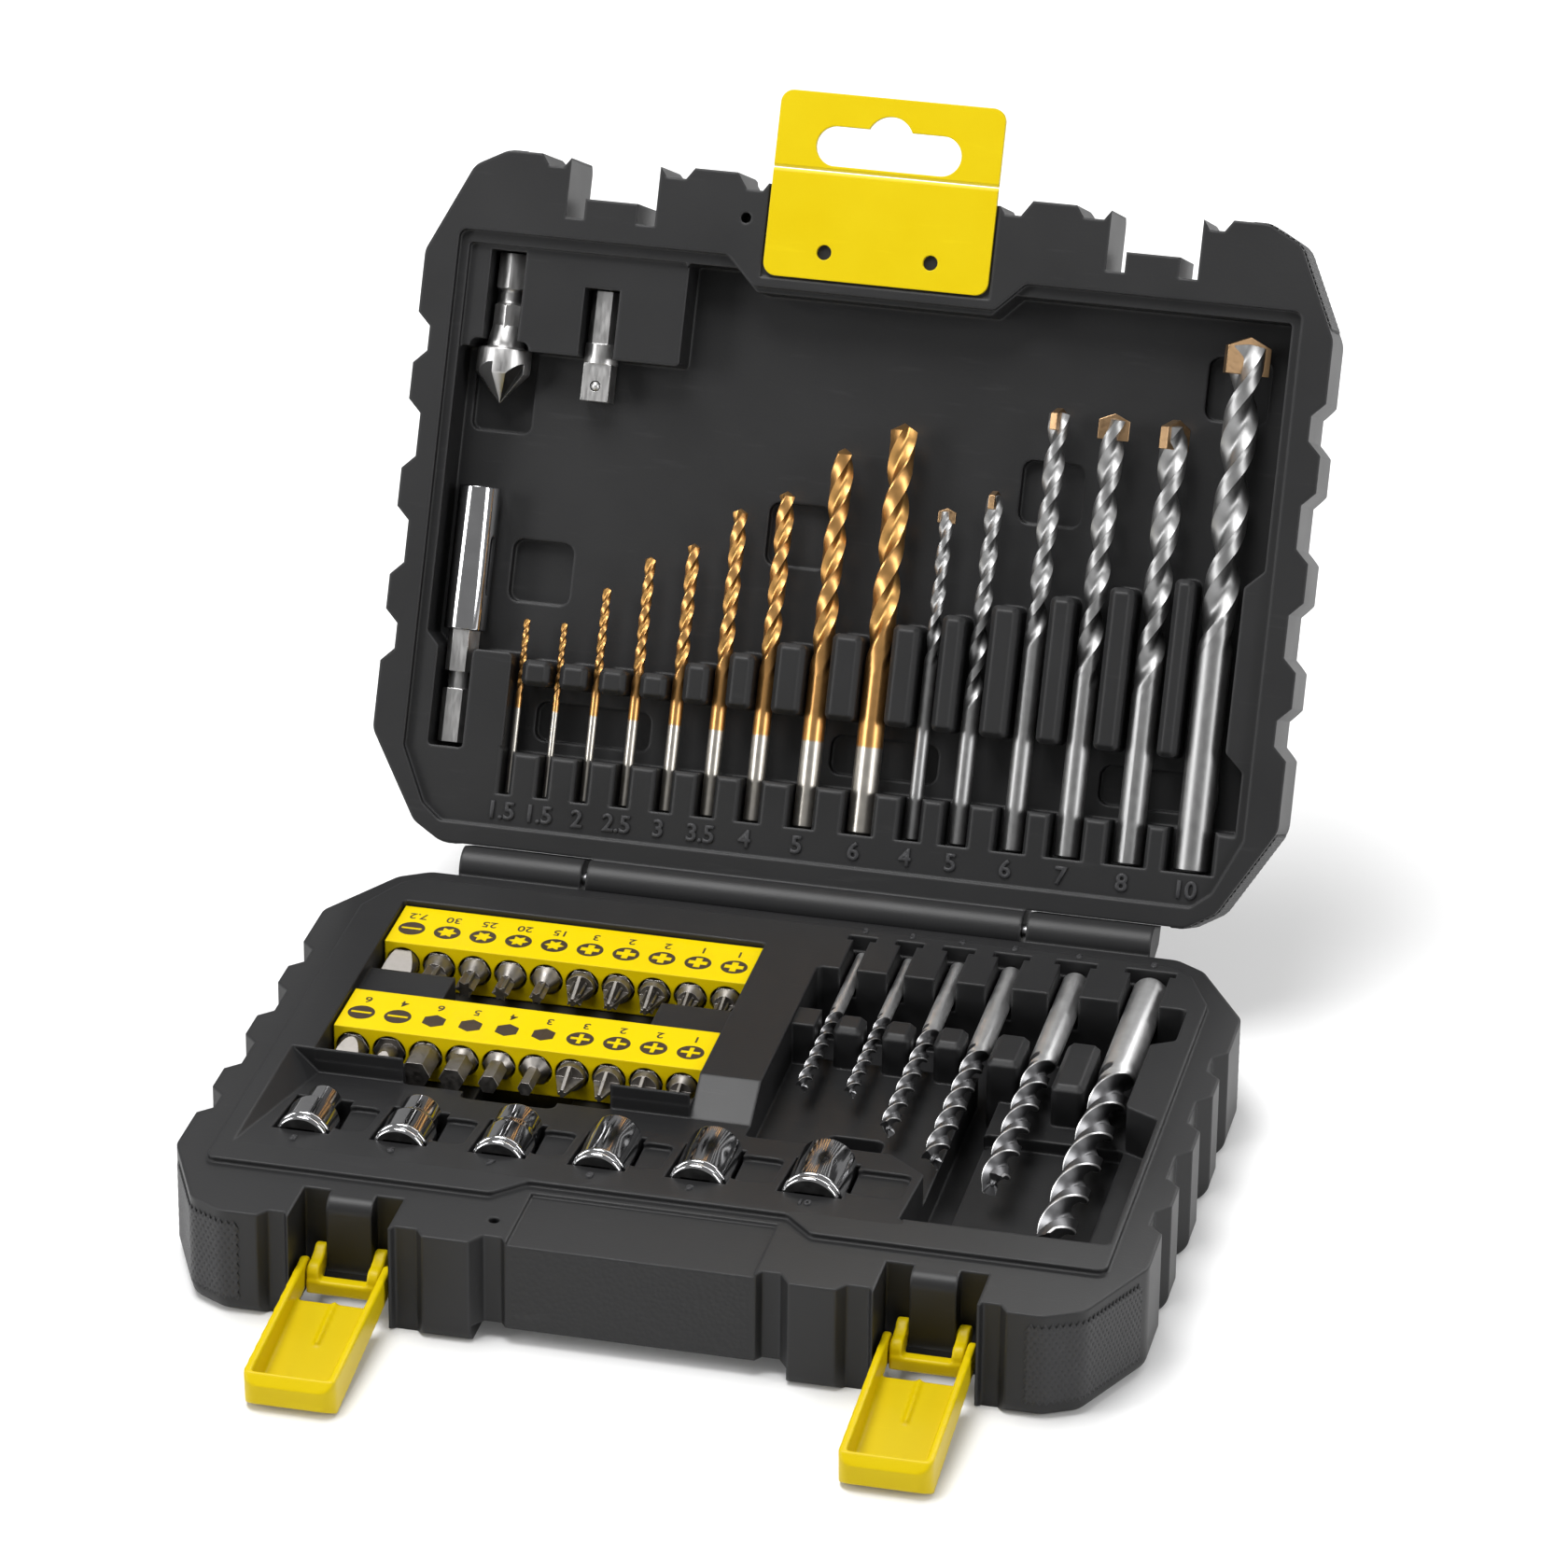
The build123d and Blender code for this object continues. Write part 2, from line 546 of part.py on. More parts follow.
def drill_bay(above):
    """The stepped bay under the wood drills."""
    left_depth, right_depth, gutter_depth = BAY_DEPTHS
    step = [
        (BAY_LEFT, BAY_LEFT_FRONT), (BAY_STEP_X - 9, BAY_LEFT_FRONT), (BAY_STEP_X, BAY_LEFT_FRONT - 9),
        (BAY_STEP_X, BAY_FRONT), (BAY_RIGHT_FRONT, BAY_FRONT), (BAY_RIGHT_FRONT, 5.0),
        (BAY_RIGHT_NARROW, 9.0), (BAY_RIGHT_NARROW, WOOD_BLOCK_REAR), (BAY_RIGHT_REAR, WOOD_BLOCK_REAR + 3),
        (BAY_RIGHT_REAR, BAY_REAR), (BAY_LEFT, BAY_REAR),
    ]
    gutter_x = BAY_STEP_X + GUTTER_WIDTH
    return [
        prism(outline(step, 1.5), RIM - left_depth, above),
        block(gutter_x, BAY_RIGHT_NARROW, BAY_FRONT + 2, 9.0, RIM - right_depth, above, 1.5),
        block(BAY_STEP_X, gutter_x, BAY_FRONT + 2, WOOD_BLOCK_REAR, RIM - gutter_depth, above, 1.5),
        block(BAY_LEFT, BAY_RIGHT_NARROW, 33.0, BAY_REAR, RIM - gutter_depth, above, 1.5),
        block(*FINGER_PIT, RIM - FINGER_PIT_DEPTH, above, POCKET_RADIUS),
    ]


def wood_blocks():
    """Standing blocks between the wood drills, which grow to the right, and one at the left wall."""
    blocks = []
    places = [row[4] for row in WOOD_DRILLS]
    floor = RIM - BAY_DEPTHS[2] - 1
    for left, right, front, width in zip(places, places[1:], WOOD_BLOCKS, WOOD_BLOCK_WIDTHS):
        middle = (left + right) / 2
        x0, x1 = middle - width / 2, middle + width / 2
        blocks.append(eased_block(x0, x1, front, WOOD_BLOCK_REAR, floor, RIM, True))
    edge = places[0] - WOOD_DRILLS[0][1] / 2 - CRADLE_GAP
    blocks.append(block(BAY_LEFT - 1, edge, WOOD_BLOCKS[0], WOOD_BLOCK_REAR, floor, RIM))
    return blocks


def wood_slots(above):
    """Shank slots behind the bay, each with a wider end."""
    cuts = []
    extra, length, depth = SHANK_TEE
    rear = WOOD_SHANK_Y + SEAT_GAP
    for _, diameter, _, _, x in WOOD_DRILLS:
        half = diameter / 2 + CRADLE_GAP
        floor = RIM - WOOD_DROP - diameter / 2 - SEAT_GAP
        cuts.append(block(x - half, x + half, BAY_REAR - 1, rear, floor, above))
        wide = half + extra
        cuts.append(block(x - wide, x + wide, rear - length, rear + 0.4, RIM - depth, above))
    return cuts


def front_edges(shape):
    """The front edges along X, lowest first."""
    return shape.edges().filter_by(Axis.X).sort_by(Axis.Y)[:2].sort_by(Axis.Z)


def base_tongue(x):
    """The base's latch tongue, with a round nose and the bore for the link's studs."""
    z0 = RIM - BASE_TONGUE_HEIGHT
    x0, x1 = x - BASE_TONGUE_HALF, x + BASE_TONGUE_HALF
    tongue = block(x0, x1, TONGUE_Y, RECESS_Y + 1, z0, RIM)
    tongue = fillet(front_edges(tongue)[-1], TONGUE_TOP_RADIUS)
    tongue = fillet(front_edges(tongue)[0], TONGUE_FOOT_RADIUS)
    return tongue - rod(LATCH_PIN_RADIUS + LATCH_PIN_GAP, x0 - 1, x1 + 1, LINK_PIVOT_Y, LINK_PIVOT_Z)


def knuckle(x0, x1, sign):
    """A hinge barrel with its web: sign -1 hangs the web below the axis, +1 stands it above."""
    web = [
        (REAR - 1, HINGE_Z + sign * (KNUCKLE_RADIUS + KNUCKLE_WEB_DROP)),
        (HINGE_Y, HINGE_Z + sign * KNUCKLE_RADIUS),
        (HINGE_Y, HINGE_Z),
        (HINGE_Y - KNUCKLE_RADIUS, HINGE_Z),
        (HINGE_Y - KNUCKLE_RADIUS, HINGE_Z + sign * PARTING_GAP / 2),
        (REAR - 1, HINGE_Z + sign * PARTING_GAP / 2),
    ]
    return rod(KNUCKLE_RADIUS, x0, x1, HINGE_Y, HINGE_Z) + side_prism(web, x0, x1)


def outer_knuckle(side):
    """A base knuckle, with the tail behind it that stops the lid when open."""
    inner = MIDDLE_KNUCKLE_HALF + KNUCKLE_GAP
    ends = sorted((side * inner, side * (inner + OUTER_KNUCKLE_LENGTH)))
    lean = radians(OPEN_ANGLE)
    stop = HINGE_BEHIND - SEAT_GAP
    tail = []
    for along in (1.5, 8.0):
        y = HINGE_Y - stop * cos(lean) + along * sin(lean)
        z = HINGE_Z + stop * sin(lean) + along * cos(lean)
        tail.append((y, z))
    tail += [(HINGE_Y + 7.0, HINGE_Z - 3.0), (HINGE_Y + 1.0, HINGE_Z - 4.2), (HINGE_Y, HINGE_Z)]
    return knuckle(*ends, -1) + side_prism(tail, *ends)


def pin_half():
    return MIDDLE_KNUCKLE_HALF + KNUCKLE_GAP + OUTER_KNUCKLE_LENGTH - PIN_END_COVER


def hinge_pin():
    return rod(PIN_RADIUS, -pin_half() + 0.2, pin_half() - 0.2, HINGE_Y, HINGE_Z)


def lid_shell():
    """Upper half, shut: rim, sunk deck, drill cavity with its blocks and slots, and the middle knuckle."""
    body = prism(case_outline(), LID_RIM, LID_TOP)
    body = fillet(body.edges().group_by(Axis.Z)[-1], OUTER_EDGE_RADIUS)
    below = LID_RIM - 1
    body -= rim_cuts(below, LID_TOP + 1)
    half = HANDLE_HALF_WIDTH + HANDLE_GROOVE_WIDTH
    body -= block(-half, half, FRONT - 1, FRONT + HANDLE_REACH, LID_TOP - HANDLE_LIFT, LID_TOP + 1)
    body -= tab_seat(below, LID_RIM + TAB_SEAT_DEPTH)
    body -= mould_hole(below, LID_RIM + MOULD_HOLE_DEPTH)
    body -= prism(deck_outline(0), below, LID_RIM + LID_DECK_DEPTH)
    body = body - lid_cavity() + lid_blocks() - lid_slots(below) - accessory_pockets(below) - lid_dimples()
    for x in (-LATCH_X, LATCH_X):
        x0, x1 = x - LID_RECESS_HALF, x + LID_RECESS_HALF
        body -= block(x0, x1, FRONT - 1, RECESS_Y, below, LID_TOP + 1)
        x0, x1 = x - LID_TONGUE_HALF, x + LID_TONGUE_HALF
        body += block(x0, x1, TONGUE_Y, RECESS_Y + 1, LID_RIM, LID_TONGUE_TOP)
    body += knuckle(-MIDDLE_KNUCKLE_HALF, MIDDLE_KNUCKLE_HALF, 1)
    body -= rod(PIN_RADIUS + PIN_GAP, -pin_half(), pin_half(), HINGE_Y, HINGE_Z)
    return open_lid(body)


def lid_cavity():
    """The deep part of the lid: sloped walls, narrower beside the largest drill."""
    side, front = LID_CAVITY_SIDE, LID_CAVITY_FRONT
    narrow = side - LID_CAVITY_STEP
    block_x, block_y = ACCESSORY_BLOCK
    slot_left = HOLDER_X - HEX_SLOT_HALF
    slot_right = HOLDER_X + HEX_SLOT_HALF
    holder_end = HOLDER_FRONT_Y + HOLDER_SLEEVE[1]
    label_x = lid_drills()[0][1] - 1.4
    points = [
        (block_x, front), (-DECK_JOG_HALF_WIDTH - 1, front), (-DECK_JOG_HALF_WIDTH + 4, front + 5),
        (DECK_JOG_HALF_WIDTH - 4, front + 5), (DECK_JOG_HALF_WIDTH + 1, front), (side, front),
        (side, -2.0), (narrow, 2.0), (narrow, 39.0), (side, 43.0), (side, LID_SLOT_FRONT),
        (label_x, LID_SLOT_FRONT), (label_x, holder_end + 4), (slot_right, holder_end + 4),
        (slot_right, holder_end + HOLDER_SHANK + 1), (slot_left, holder_end + HOLDER_SHANK + 1),
        (slot_left, holder_end + 4), (-side, holder_end + 1), (-side, block_y), (block_x, block_y),
    ]
    return prism(outline(points, 1.0), LID_RIM, LID_RIM + LID_FLOOR_DEPTH)


def lid_blocks():
    """Blocks between the drills. The first are equal, and each later one reaches further forward."""
    drills = lid_drills()
    deck = LID_RIM + LID_DECK_DEPTH
    floor = LID_RIM + LID_FLOOR_DEPTH + 1
    blocks = []
    for index, ((left_d, left), (right_d, right)) in enumerate(zip(drills, drills[1:])):
        grown = max(0, index - LID_EQUAL_BLOCKS + 1) * LID_BLOCK_GROWTH
        x0 = left + left_d / 2 + CRADLE_GAP
        x1 = right - right_d / 2 - CRADLE_GAP
        blocks.append(eased_block(x0, x1, LID_BLOCK_FRONT - grown, LID_BLOCK_REAR, deck, floor, False))
    return blocks


def lid_slots(below):
    """Shank slots cut in the deck beside the hinge, each as deep as its drill needs, with eased edges."""
    cuts = []
    deck = LID_RIM + LID_DECK_DEPTH
    for (diameter, x), shank in zip(lid_drills(), lid_shank_radii()):
        half = diameter / 2 + CRADLE_GAP
        wide = half + SLOT_EASE
        floor = LID_RIM + LID_TOOL_DEPTH + shank + SEAT_GAP
        right = [(wide, below), (wide, deck), (half, deck + SLOT_EASE), (half, floor)]
        section = [(x + u, z) for u, z in right] + [(x - u, z) for u, z in reversed(right)]
        cuts.append(front_prism(section, LID_SLOT_FRONT - 1, LID_SHANK_Y + SEAT_GAP))
    step = [(LID_SLOT_FRONT - 1, deck - 1), (LID_SLOT_FRONT + SLOT_EASE + 1, deck - 1),
            (LID_SLOT_FRONT - 1, deck + SLOT_EASE + 1)]
    cuts.append(side_prism(step, lid_drills()[0][1], LID_CAVITY_SIDE))
    return cuts


def accessory_pockets(below):
    """Pockets of the countersink and the adaptor."""
    block_x, block_y = ACCESSORY_BLOCK
    floor = LID_RIM + LID_FLOOR_DEPTH
    side = LID_CAVITY_SIDE
    cuts = [
        block(-side, block_x, LID_CAVITY_FRONT, block_y + 1, below, LID_RIM + ACCESSORY_DECK_DEPTH, 1.0)
    ]
    for x, end in ((COUNTERSINK_X, COUNTERSINK_END_Y), (ADAPTOR_X, ADAPTOR_END_Y)):
        x0, x1 = x - HEX_SLOT_HALF, x + HEX_SLOT_HALF
        cuts.append(block(x0, x1, end - SEAT_GAP, block_y + 1, below, floor))
    head = COUNTERSINK_RADIUS + 0.8
    deep = LID_RIM + ACCESSORY_DEPTH + COUNTERSINK_RADIUS + SEAT_GAP
    rear = COUNTERSINK_END_Y + COUNTERSINK_LENGTH
    cuts.append(
        block(COUNTERSINK_X - head, COUNTERSINK_X + head, rear - 14.5, rear + 6.0, below, deep, 2.0)
    )
    return cuts


def lid_dimples():
    """Square dimples in the floor, and long ones in the trench between the two rows of blocks."""
    cuts = []
    for share, y, width, length in LID_DIMPLES:
        x = share * LID_CAVITY_SIDE
        corners = (x - width / 2, x + width / 2, y - length / 2, y + length / 2)
        cuts.append(block(*corners, LID_RIM + LID_FLOOR_DEPTH - 1, LID_RIM + DIMPLE_DEPTH, 2.5))
    return cuts


# ---- Latches ----
def latch_link(x):
    """Yellow link: two ears joined by a crossbar, studs inward to the tongue, outward to the lever."""
    inner = BASE_TONGUE_HALF + LINK_SIDE_GAP
    outer = inner + LINK_EAR_THICKNESS
    tilt = radians(LINK_OPEN)
    bar_y = LEVER_Y - LINK_BAR_ALONG * cos(tilt) + LINK_BAR_BELOW * sin(tilt)
    bar_z = LEVER_Z - LINK_BAR_ALONG * sin(tilt) - LINK_BAR_BELOW * cos(tilt)
    bar_w, bar_h = LINK_BAR[0] / 2, LINK_BAR[1] / 2
    link = block(x - outer, x + outer, bar_y - bar_w, bar_y + bar_w, bar_z - bar_h, bar_z + bar_h)
    for side in (-1, 1):
        x0, x1 = sorted((x + side * inner, x + side * outer))
        strap = [
            (LINK_PIVOT_Y + LINK_EYE_RADIUS * sin(tilt), LINK_PIVOT_Z + LINK_EYE_RADIUS * cos(tilt)),
            (LEVER_Y + LINK_EYE_RADIUS * sin(tilt), LEVER_Z + LINK_EYE_RADIUS * cos(tilt)),
            (bar_y - bar_w, bar_z),
            (bar_y + bar_w, bar_z - bar_h),
            (LINK_PIVOT_Y - LINK_EYE_RADIUS * sin(tilt), LINK_PIVOT_Z - LINK_EYE_RADIUS * cos(tilt)),
        ]
        link += side_prism(strap, x0, x1)
        link += rod(LINK_EYE_RADIUS, x0, x1, LINK_PIVOT_Y, LINK_PIVOT_Z)
        link += rod(LINK_EYE_RADIUS, x0, x1, LEVER_Y, LEVER_Z)
        stud = sorted((x + side * (inner - 1.8), x + side * inner))
        link += rod(LATCH_PIN_RADIUS, *stud, LINK_PIVOT_Y, LINK_PIVOT_Z)
        stub = sorted((x + side * outer, x + side * (outer + LINK_SIDE_GAP + LEVER_WALL)))
        link += rod(LATCH_PIN_RADIUS, *stub, LEVER_Y, LEVER_Z)
    return link


def latch_lever(x):
    """Yellow lever: a channel with open arms at the link and a closed, rounded end that hooks the lid."""
    inner = BASE_TONGUE_HALF + 2 * LINK_SIDE_GAP + LINK_EAR_THICKNESS
    outer = inner + LEVER_WALL
    top = LEVER_EYE_RADIUS
    end = LEVER_LENGTH
    side = [(0, top), (end - 2, top), (end, top - 2), (end, 2 - LEVER_END_DEPTH),
            (LEVER_HEEL, -LEVER_END_DEPTH), (0, -top)]
    lever = side_prism([(-u, w) for u, w in side], -outer, outer)
    lever += rod(top, -outer, outer, 0, 0)
    back = end - LEVER_END_WALL
    near_floor = LEVER_FLOOR - top - 0.1
    channel = [(-top - 1, top + 1), (-top - 1, -top - 4), (LEVER_WINDOW, -top - 4),
               (LEVER_WINDOW, near_floor), (back, LEVER_FLOOR - LEVER_END_DEPTH + 0.2), (back, top + 1)]
    lever -= side_prism([(-u, w) for u, w in channel], -inner, inner)
    rib_height, rib_length = LEVER_RIB
    u0, u1 = LEVER_WINDOW, LEVER_WINDOW + rib_length
    rib = [(-u0, near_floor - 1), (-u1, near_floor - 1.6), (-u1, near_floor - 0.2),
           (-u0, near_floor + rib_height)]
    lever += side_prism(rib, -0.4, 0.4)
    lever -= rod(LATCH_PIN_RADIUS + LATCH_PIN_GAP, -outer - 1, outer + 1, 0, 0)
    lever &= block(-outer, outer, -end, 3 * top, -end, end, LEVER_CORNER)
    return Pos(x, LEVER_Y, LEVER_Z) * Rot(X=LEVER_SLOPE) * lever


# ---- Hang tab ----
def tab_edge(y, direction, half_width):
    """A plate end that thins to a web at the crease."""
    reach = (TAB_THICKNESS / 2 - CREASE_HALF_WEB) / sin(radians(CREASE_BEVEL)) * cos(radians(CREASE_BEVEL))
    near = y + direction * CREASE_HALF_GAP
    far = near + direction * reach
    middle = LID_RIM + TAB_SEAT_DEPTH - TAB_THICKNESS / 2
    web, half = CREASE_HALF_WEB, TAB_THICKNESS / 2
    points = [(near, middle - web), (far, middle - half), (far, middle + half), (near, middle + web)]
    return side_prism(points, -half_width, half_width), far


def hang_tab():
    """The panel of the hang tab, pinned in the lid's front rim."""
    half = TAB_WIDTH / 2
    edge, y = tab_edge(TAB_CREASE, 1, half)
    z1 = LID_RIM + TAB_SEAT_DEPTH
    z0 = z1 - TAB_THICKNESS
    plate = block(-half, half, y, TAB_REAR, z0, z1)
    rear_corners = plate.edges().filter_by(Axis.Z).group_by(Axis.Y)[-1]
    plate = fillet(rear_corners, TAB_CORNER)
    for x in (-TAB_HOLE_X, TAB_HOLE_X):
        plate -= Pos(x, TAB_REAR - TAB_HOLE_INSET, z0) * Cylinder(TAB_HOLE_RADIUS, 4)
    return open_lid(plate + edge)


def hang_flap():
    """The flap with the hanging slot, which folds at the crease."""
    half = TAB_WIDTH / 2
    edge, y = tab_edge(TAB_CREASE, -1, half)
    z1 = LID_RIM + TAB_SEAT_DEPTH
    z0 = z1 - TAB_THICKNESS
    flap = block(-half, half, TAB_CREASE - TAB_FLAP_LENGTH, y, z0, z1)
    front_corners = flap.edges().filter_by(Axis.Z).group_by(Axis.Y)[0]
    flap = fillet(front_corners, TAB_CORNER)
    slot_y = TAB_CREASE - HANG_SLOT_FROM_CREASE
    slot = extrude(Pos(0, slot_y, z0 - 1) * SlotOverall(HANG_SLOT_WIDTH, HANG_SLOT_HEIGHT), 4)
    hump = Pos(0, slot_y - HANG_HUMP_SHIFT, z0) * Cylinder(HANG_HUMP_RADIUS, 6)
    return open_lid(flap + edge - slot - hump)


# ---- Bit racks and bits ----
def rack_bit_x(index):
    return RACK_CENTRE_X + (index - 4.5) * RACK_PITCH


def bit_rack(rear):
    """A yellow bar with ten round bit holes in its front face."""
    x0, x1 = RACK_CENTRE_X - RACK_LENGTH / 2, RACK_CENTRE_X + RACK_LENGTH / 2
    rack = block(x0, x1, rear - RACK_DEPTH, rear, RIM - RACK_HEIGHT, RIM)
    for index in range(10):
        place = Pos(rack_bit_x(index), rear - RACK_DEPTH + RACK_HOLE_DEPTH / 2 - 1, RIM - RACK_HOLE_DROP)
        rack -= place * Rot(X=90) * Cylinder(RACK_HOLE_RADIUS, RACK_HOLE_DEPTH + 2)
    return rack


def hex_face(across):
    return RegularPolygon(across / 2, 6, major_radius=False)


def bit_shank():
    return extrude(hex_face(BIT_HEX), BIT_LENGTH - BIT_REACH)


def cone(bottom, top, height, z):
    return Pos(0, 0, z + height / 2) * Cone(bottom, top, height)


def slot_bit(width):
    """Flat blade, ground from a round neck."""
    neck = BIT_LENGTH - BIT_REACH
    blade = Pos(0, 0, neck) * Cylinder(width / 2, BIT_REACH, align=(Align.CENTER, Align.CENTER, Align.MIN))
    wide = BIT_HEX
    half_edge = SLOT_BLADE / 2
    for side in (1, -1):
        points = [(side * wide / 2, 0), (side * half_edge, BIT_REACH - 1), (side * half_edge, BIT_REACH + 1),
                  (side * wide, BIT_REACH + 1), (side * wide, 0)]
        blade -= Pos(0, 0, neck) * side_prism(points, -wide, wide)
    return bit_shank() + blade


def neck_and_tip(tip, tip_length, radius):
    """A hex shank, a round neck that tapers to the tip's size, and the tip."""
    neck = BIT_LENGTH - BIT_REACH
    taper = BIT_REACH - tip_length
    return bit_shank() + cone(BIT_HEX / 2, radius, taper, neck) + Pos(0, 0, neck + taper) * tip


def hex_bit(across):
    tip_length = BIT_REACH - 1.5
    tip = extrude(hex_face(across), tip_length)
    return neck_and_tip(tip, tip_length, across / 2)


def star_bit(diameter):
    """Six-lobed tip: two triangles crossed."""
    tip_length = BIT_REACH - 3.5
    radius = diameter / 2
    star = RegularPolygon(radius, 3) + Rot(Z=60) * RegularPolygon(radius, 3)
    return neck_and_tip(extrude(star, tip_length), tip_length, radius * 0.9)


def cross_bit(radius, ribs):
    """Cross tip: a cone cut by four flutes, with four small ribs between the wings if it has them."""
    tip_length = BIT_REACH - 2.0
    tip = cone(radius, radius * 0.3, tip_length, 0)
    flute = Pos(radius * 0.78, 0, 0) * Rot(Z=45) * Box(radius * 0.85, radius * 0.85, 4 * tip_length)
    for quarter in range(4):
        tip -= Rot(Z=45 + 90 * quarter) * flute
    if ribs:
        for turn in (0, 90):
            rib = Box(radius * 1.3, 0.45, tip_length - 1.5, align=(Align.CENTER, Align.CENTER, Align.MIN))
            tip += Rot(Z=45 + turn) * rib
    return neck_and_tip(tip, tip_length, radius)


REAR_BITS = (               # node, form, size, rack places
    ("slot_bit_7", slot_bit, (7.2,), (0,)),
    ("star_bit_30", star_bit, (5.6,), (1,)),
    ("star_bit_25", star_bit, (4.5,), (2,)),
    ("star_bit_20", star_bit, (3.9,), (3,)),
    ("star_bit_15", star_bit, (3.3,), (4,)),
    ("ribbed_cross_bit_3", cross_bit, (3.1, True), (5,)),
    ("ribbed_cross_bits_2", cross_bit, (2.9, True), (6, 7)),
    ("ribbed_cross_bits_1", cross_bit, (2.4, True), (8, 9)),
)
FRONT_BITS = (
    ("slot_bit_6", slot_bit, (6.0,), (0,)),
    ("slot_bit_4", slot_bit, (4.0,), (1,)),
    ("hex_bit_6", hex_bit, (6.0,), (2,)),
    ("hex_bit_5", hex_bit, (5.0,), (3,)),
    ("hex_bit_4", hex_bit, (4.0,), (4,)),
    ("hex_bit_3", hex_bit, (3.0,), (5,)),
    ("cross_bit_3", cross_bit, (3.1, False), (6,)),
    ("cross_bits_2", cross_bit, (2.9, False), (7, 8)),
    ("cross_bit_1", cross_bit, (2.4, False), (9,)),
)


def seated_bits(form, sizes, places, rear):
    """The bits of one node, in their holes."""
    y = rear - RACK_DEPTH + BIT_LENGTH - BIT_REACH
    return [lay_forward(form(*sizes), rack_bit_x(i), y, RIM - RACK_HOLE_DROP) for i in places]


# ---- Sockets ----
def socket(index):
    """A socket lying with its square drive end forward."""
    drive, nose = socket_profile(index)
    length = SOCKET_LENGTH
    profile = [(0, 0), (drive - 0.5, 0), (drive, 0.5), (drive, 2.6), (drive - 0.35, 2.9),
               (drive - 0.35, 3.5), (drive, 3.8), (drive, SOCKET_SHOULDER[0])]
    if nose < drive:
        profile += [(nose, SOCKET_SHOULDER[1])]
    profile += [(nose, length - 0.6), (nose - 0.6, length), (0, length)]
    body = revolve(Plane.XZ * outline(profile), Axis.Z)
    body -= Box(SQUARE_DRIVE, SQUARE_DRIVE, DRIVE_DEPTH, align=(Align.CENTER, Align.CENTER, Align.MIN))
    body -= Pos(0, 0, length - DRIVE_DEPTH) * extrude(hex_face(socket_bore(index)), DRIVE_DEPTH + 1)
    return lay_back(body, SOCKET_X[index], SOCKET_FRONT_Y, RIM - SOCKET_DROP)


# ---- Drills ----
def spiral_body(radius, web, length, pitch):
    """A two-fluted spiral: one six-cornered section turned step by step, its sides flat facets."""
    corners = [(LAND_HALF_ANGLE, radius), (90.0, web), (180.0 - LAND_HALF_ANGLE, radius),
               (180.0 + LAND_HALF_ANGLE, radius), (270.0, web), (360.0 - LAND_HALF_ANGLE, radius)]
    steps = max(2, round(360.0 * length / pitch / SPIRAL_STEP))
    rings = []
    for step in range(steps + 1):
        turn = SPIRAL_STEP * step
        ring = [(r * cos(radians(a + turn)), r * sin(radians(a + turn))) for a, r in corners]
        rings.append([Vector(x, y, length * step / steps) for x, y in ring])
    faces = [Face(Wire.make_polygon(rings[0])), Face(Wire.make_polygon(rings[-1]))]
    for low, high in zip(rings, rings[1:]):
        for i in range(len(corners)):
            j = (i + 1) % len(corners)
            faces.append(Face(Wire.make_polygon([low[i], low[j], high[j]])))
            faces.append(Face(Wire.make_polygon([low[i], high[j], high[i]])))
    return Solid(Shell(faces))


def drill_body(diameter, length, spiral, pitch_share, web_share, point):
    """Shank upward from the origin, then the spiral and a cone of the given height."""
    radius = diameter / 2
    plain = length - spiral
    shank = Cylinder(radius, plain, align=(Align.CENTER, Align.CENTER, Align.MIN))
    pitch = diameter * pitch_share
    twist = Pos(0, 0, plain) * spiral_body(radius, radius * web_share, spiral - point, pitch)
    tip = cone(radius * web_share, 0.05, point, length - point)
    return shank + twist + tip


def twist_drill(diameter, length, spiral):
    point = diameter / 2 * WEB_SHARE * 1.2
    return drill_body(diameter, length, spiral, TWIST_PITCH, WEB_SHARE, point)


def wood_drill(diameter, length, spiral):
    """A brad point: a thin spike in the middle and two spurs at the rim."""
    spike = diameter * 0.35
    return drill_body(diameter, length, spiral, WOOD_PITCH, WOOD_WEB_SHARE, spike)


def masonry_drill(diameter, length, spiral):
    """Steel body, slotted at the tip for a carbide plate wider than the steel."""
    radius = diameter / 2
    body_diameter = diameter * MASONRY_BODY_SHARE
    pitch_share = MASONRY_PITCH / MASONRY_BODY_SHARE
    half = CARBIDE_THICKNESS_SHARE * diameter / 2
    plate_length = CARBIDE_LENGTH_SHARE * diameter
    crest = radius * 0.45
    cut_back = crest * 0.6
    steel_length = length - cut_back
    steel_spiral = spiral - cut_back
    body = drill_body(body_diameter, steel_length, steel_spiral, pitch_share, WEB_SHARE, crest - cut_back)
    low = length - plate_length
    points = [(-radius, low), (radius, low), (radius, length - crest), (0, length), (-radius, length - crest)]
    plate = extrude(Plane.XZ * outline(points), half, both=True)
    slot = Pos(0, 0, low + diameter) * Box(diameter * 2, 2 * half, 2 * diameter)
    return body - slot, plate


def seated_lid_drills(row, form):
    """The drills of one node, in the shut lid, then opened with it."""
    _, diameter, length, spiral, shares = row
    solids = form(diameter, length, spiral)
    solids = solids if isinstance(solids, tuple) else (solids,)
    z = LID_RIM + LID_TOOL_DEPTH
    places = [share * LID_CAVITY_SIDE for share in shares]
    return [open_lid(lay_forward(s, x, LID_SHANK_Y, z)) for x in places for s in solids]


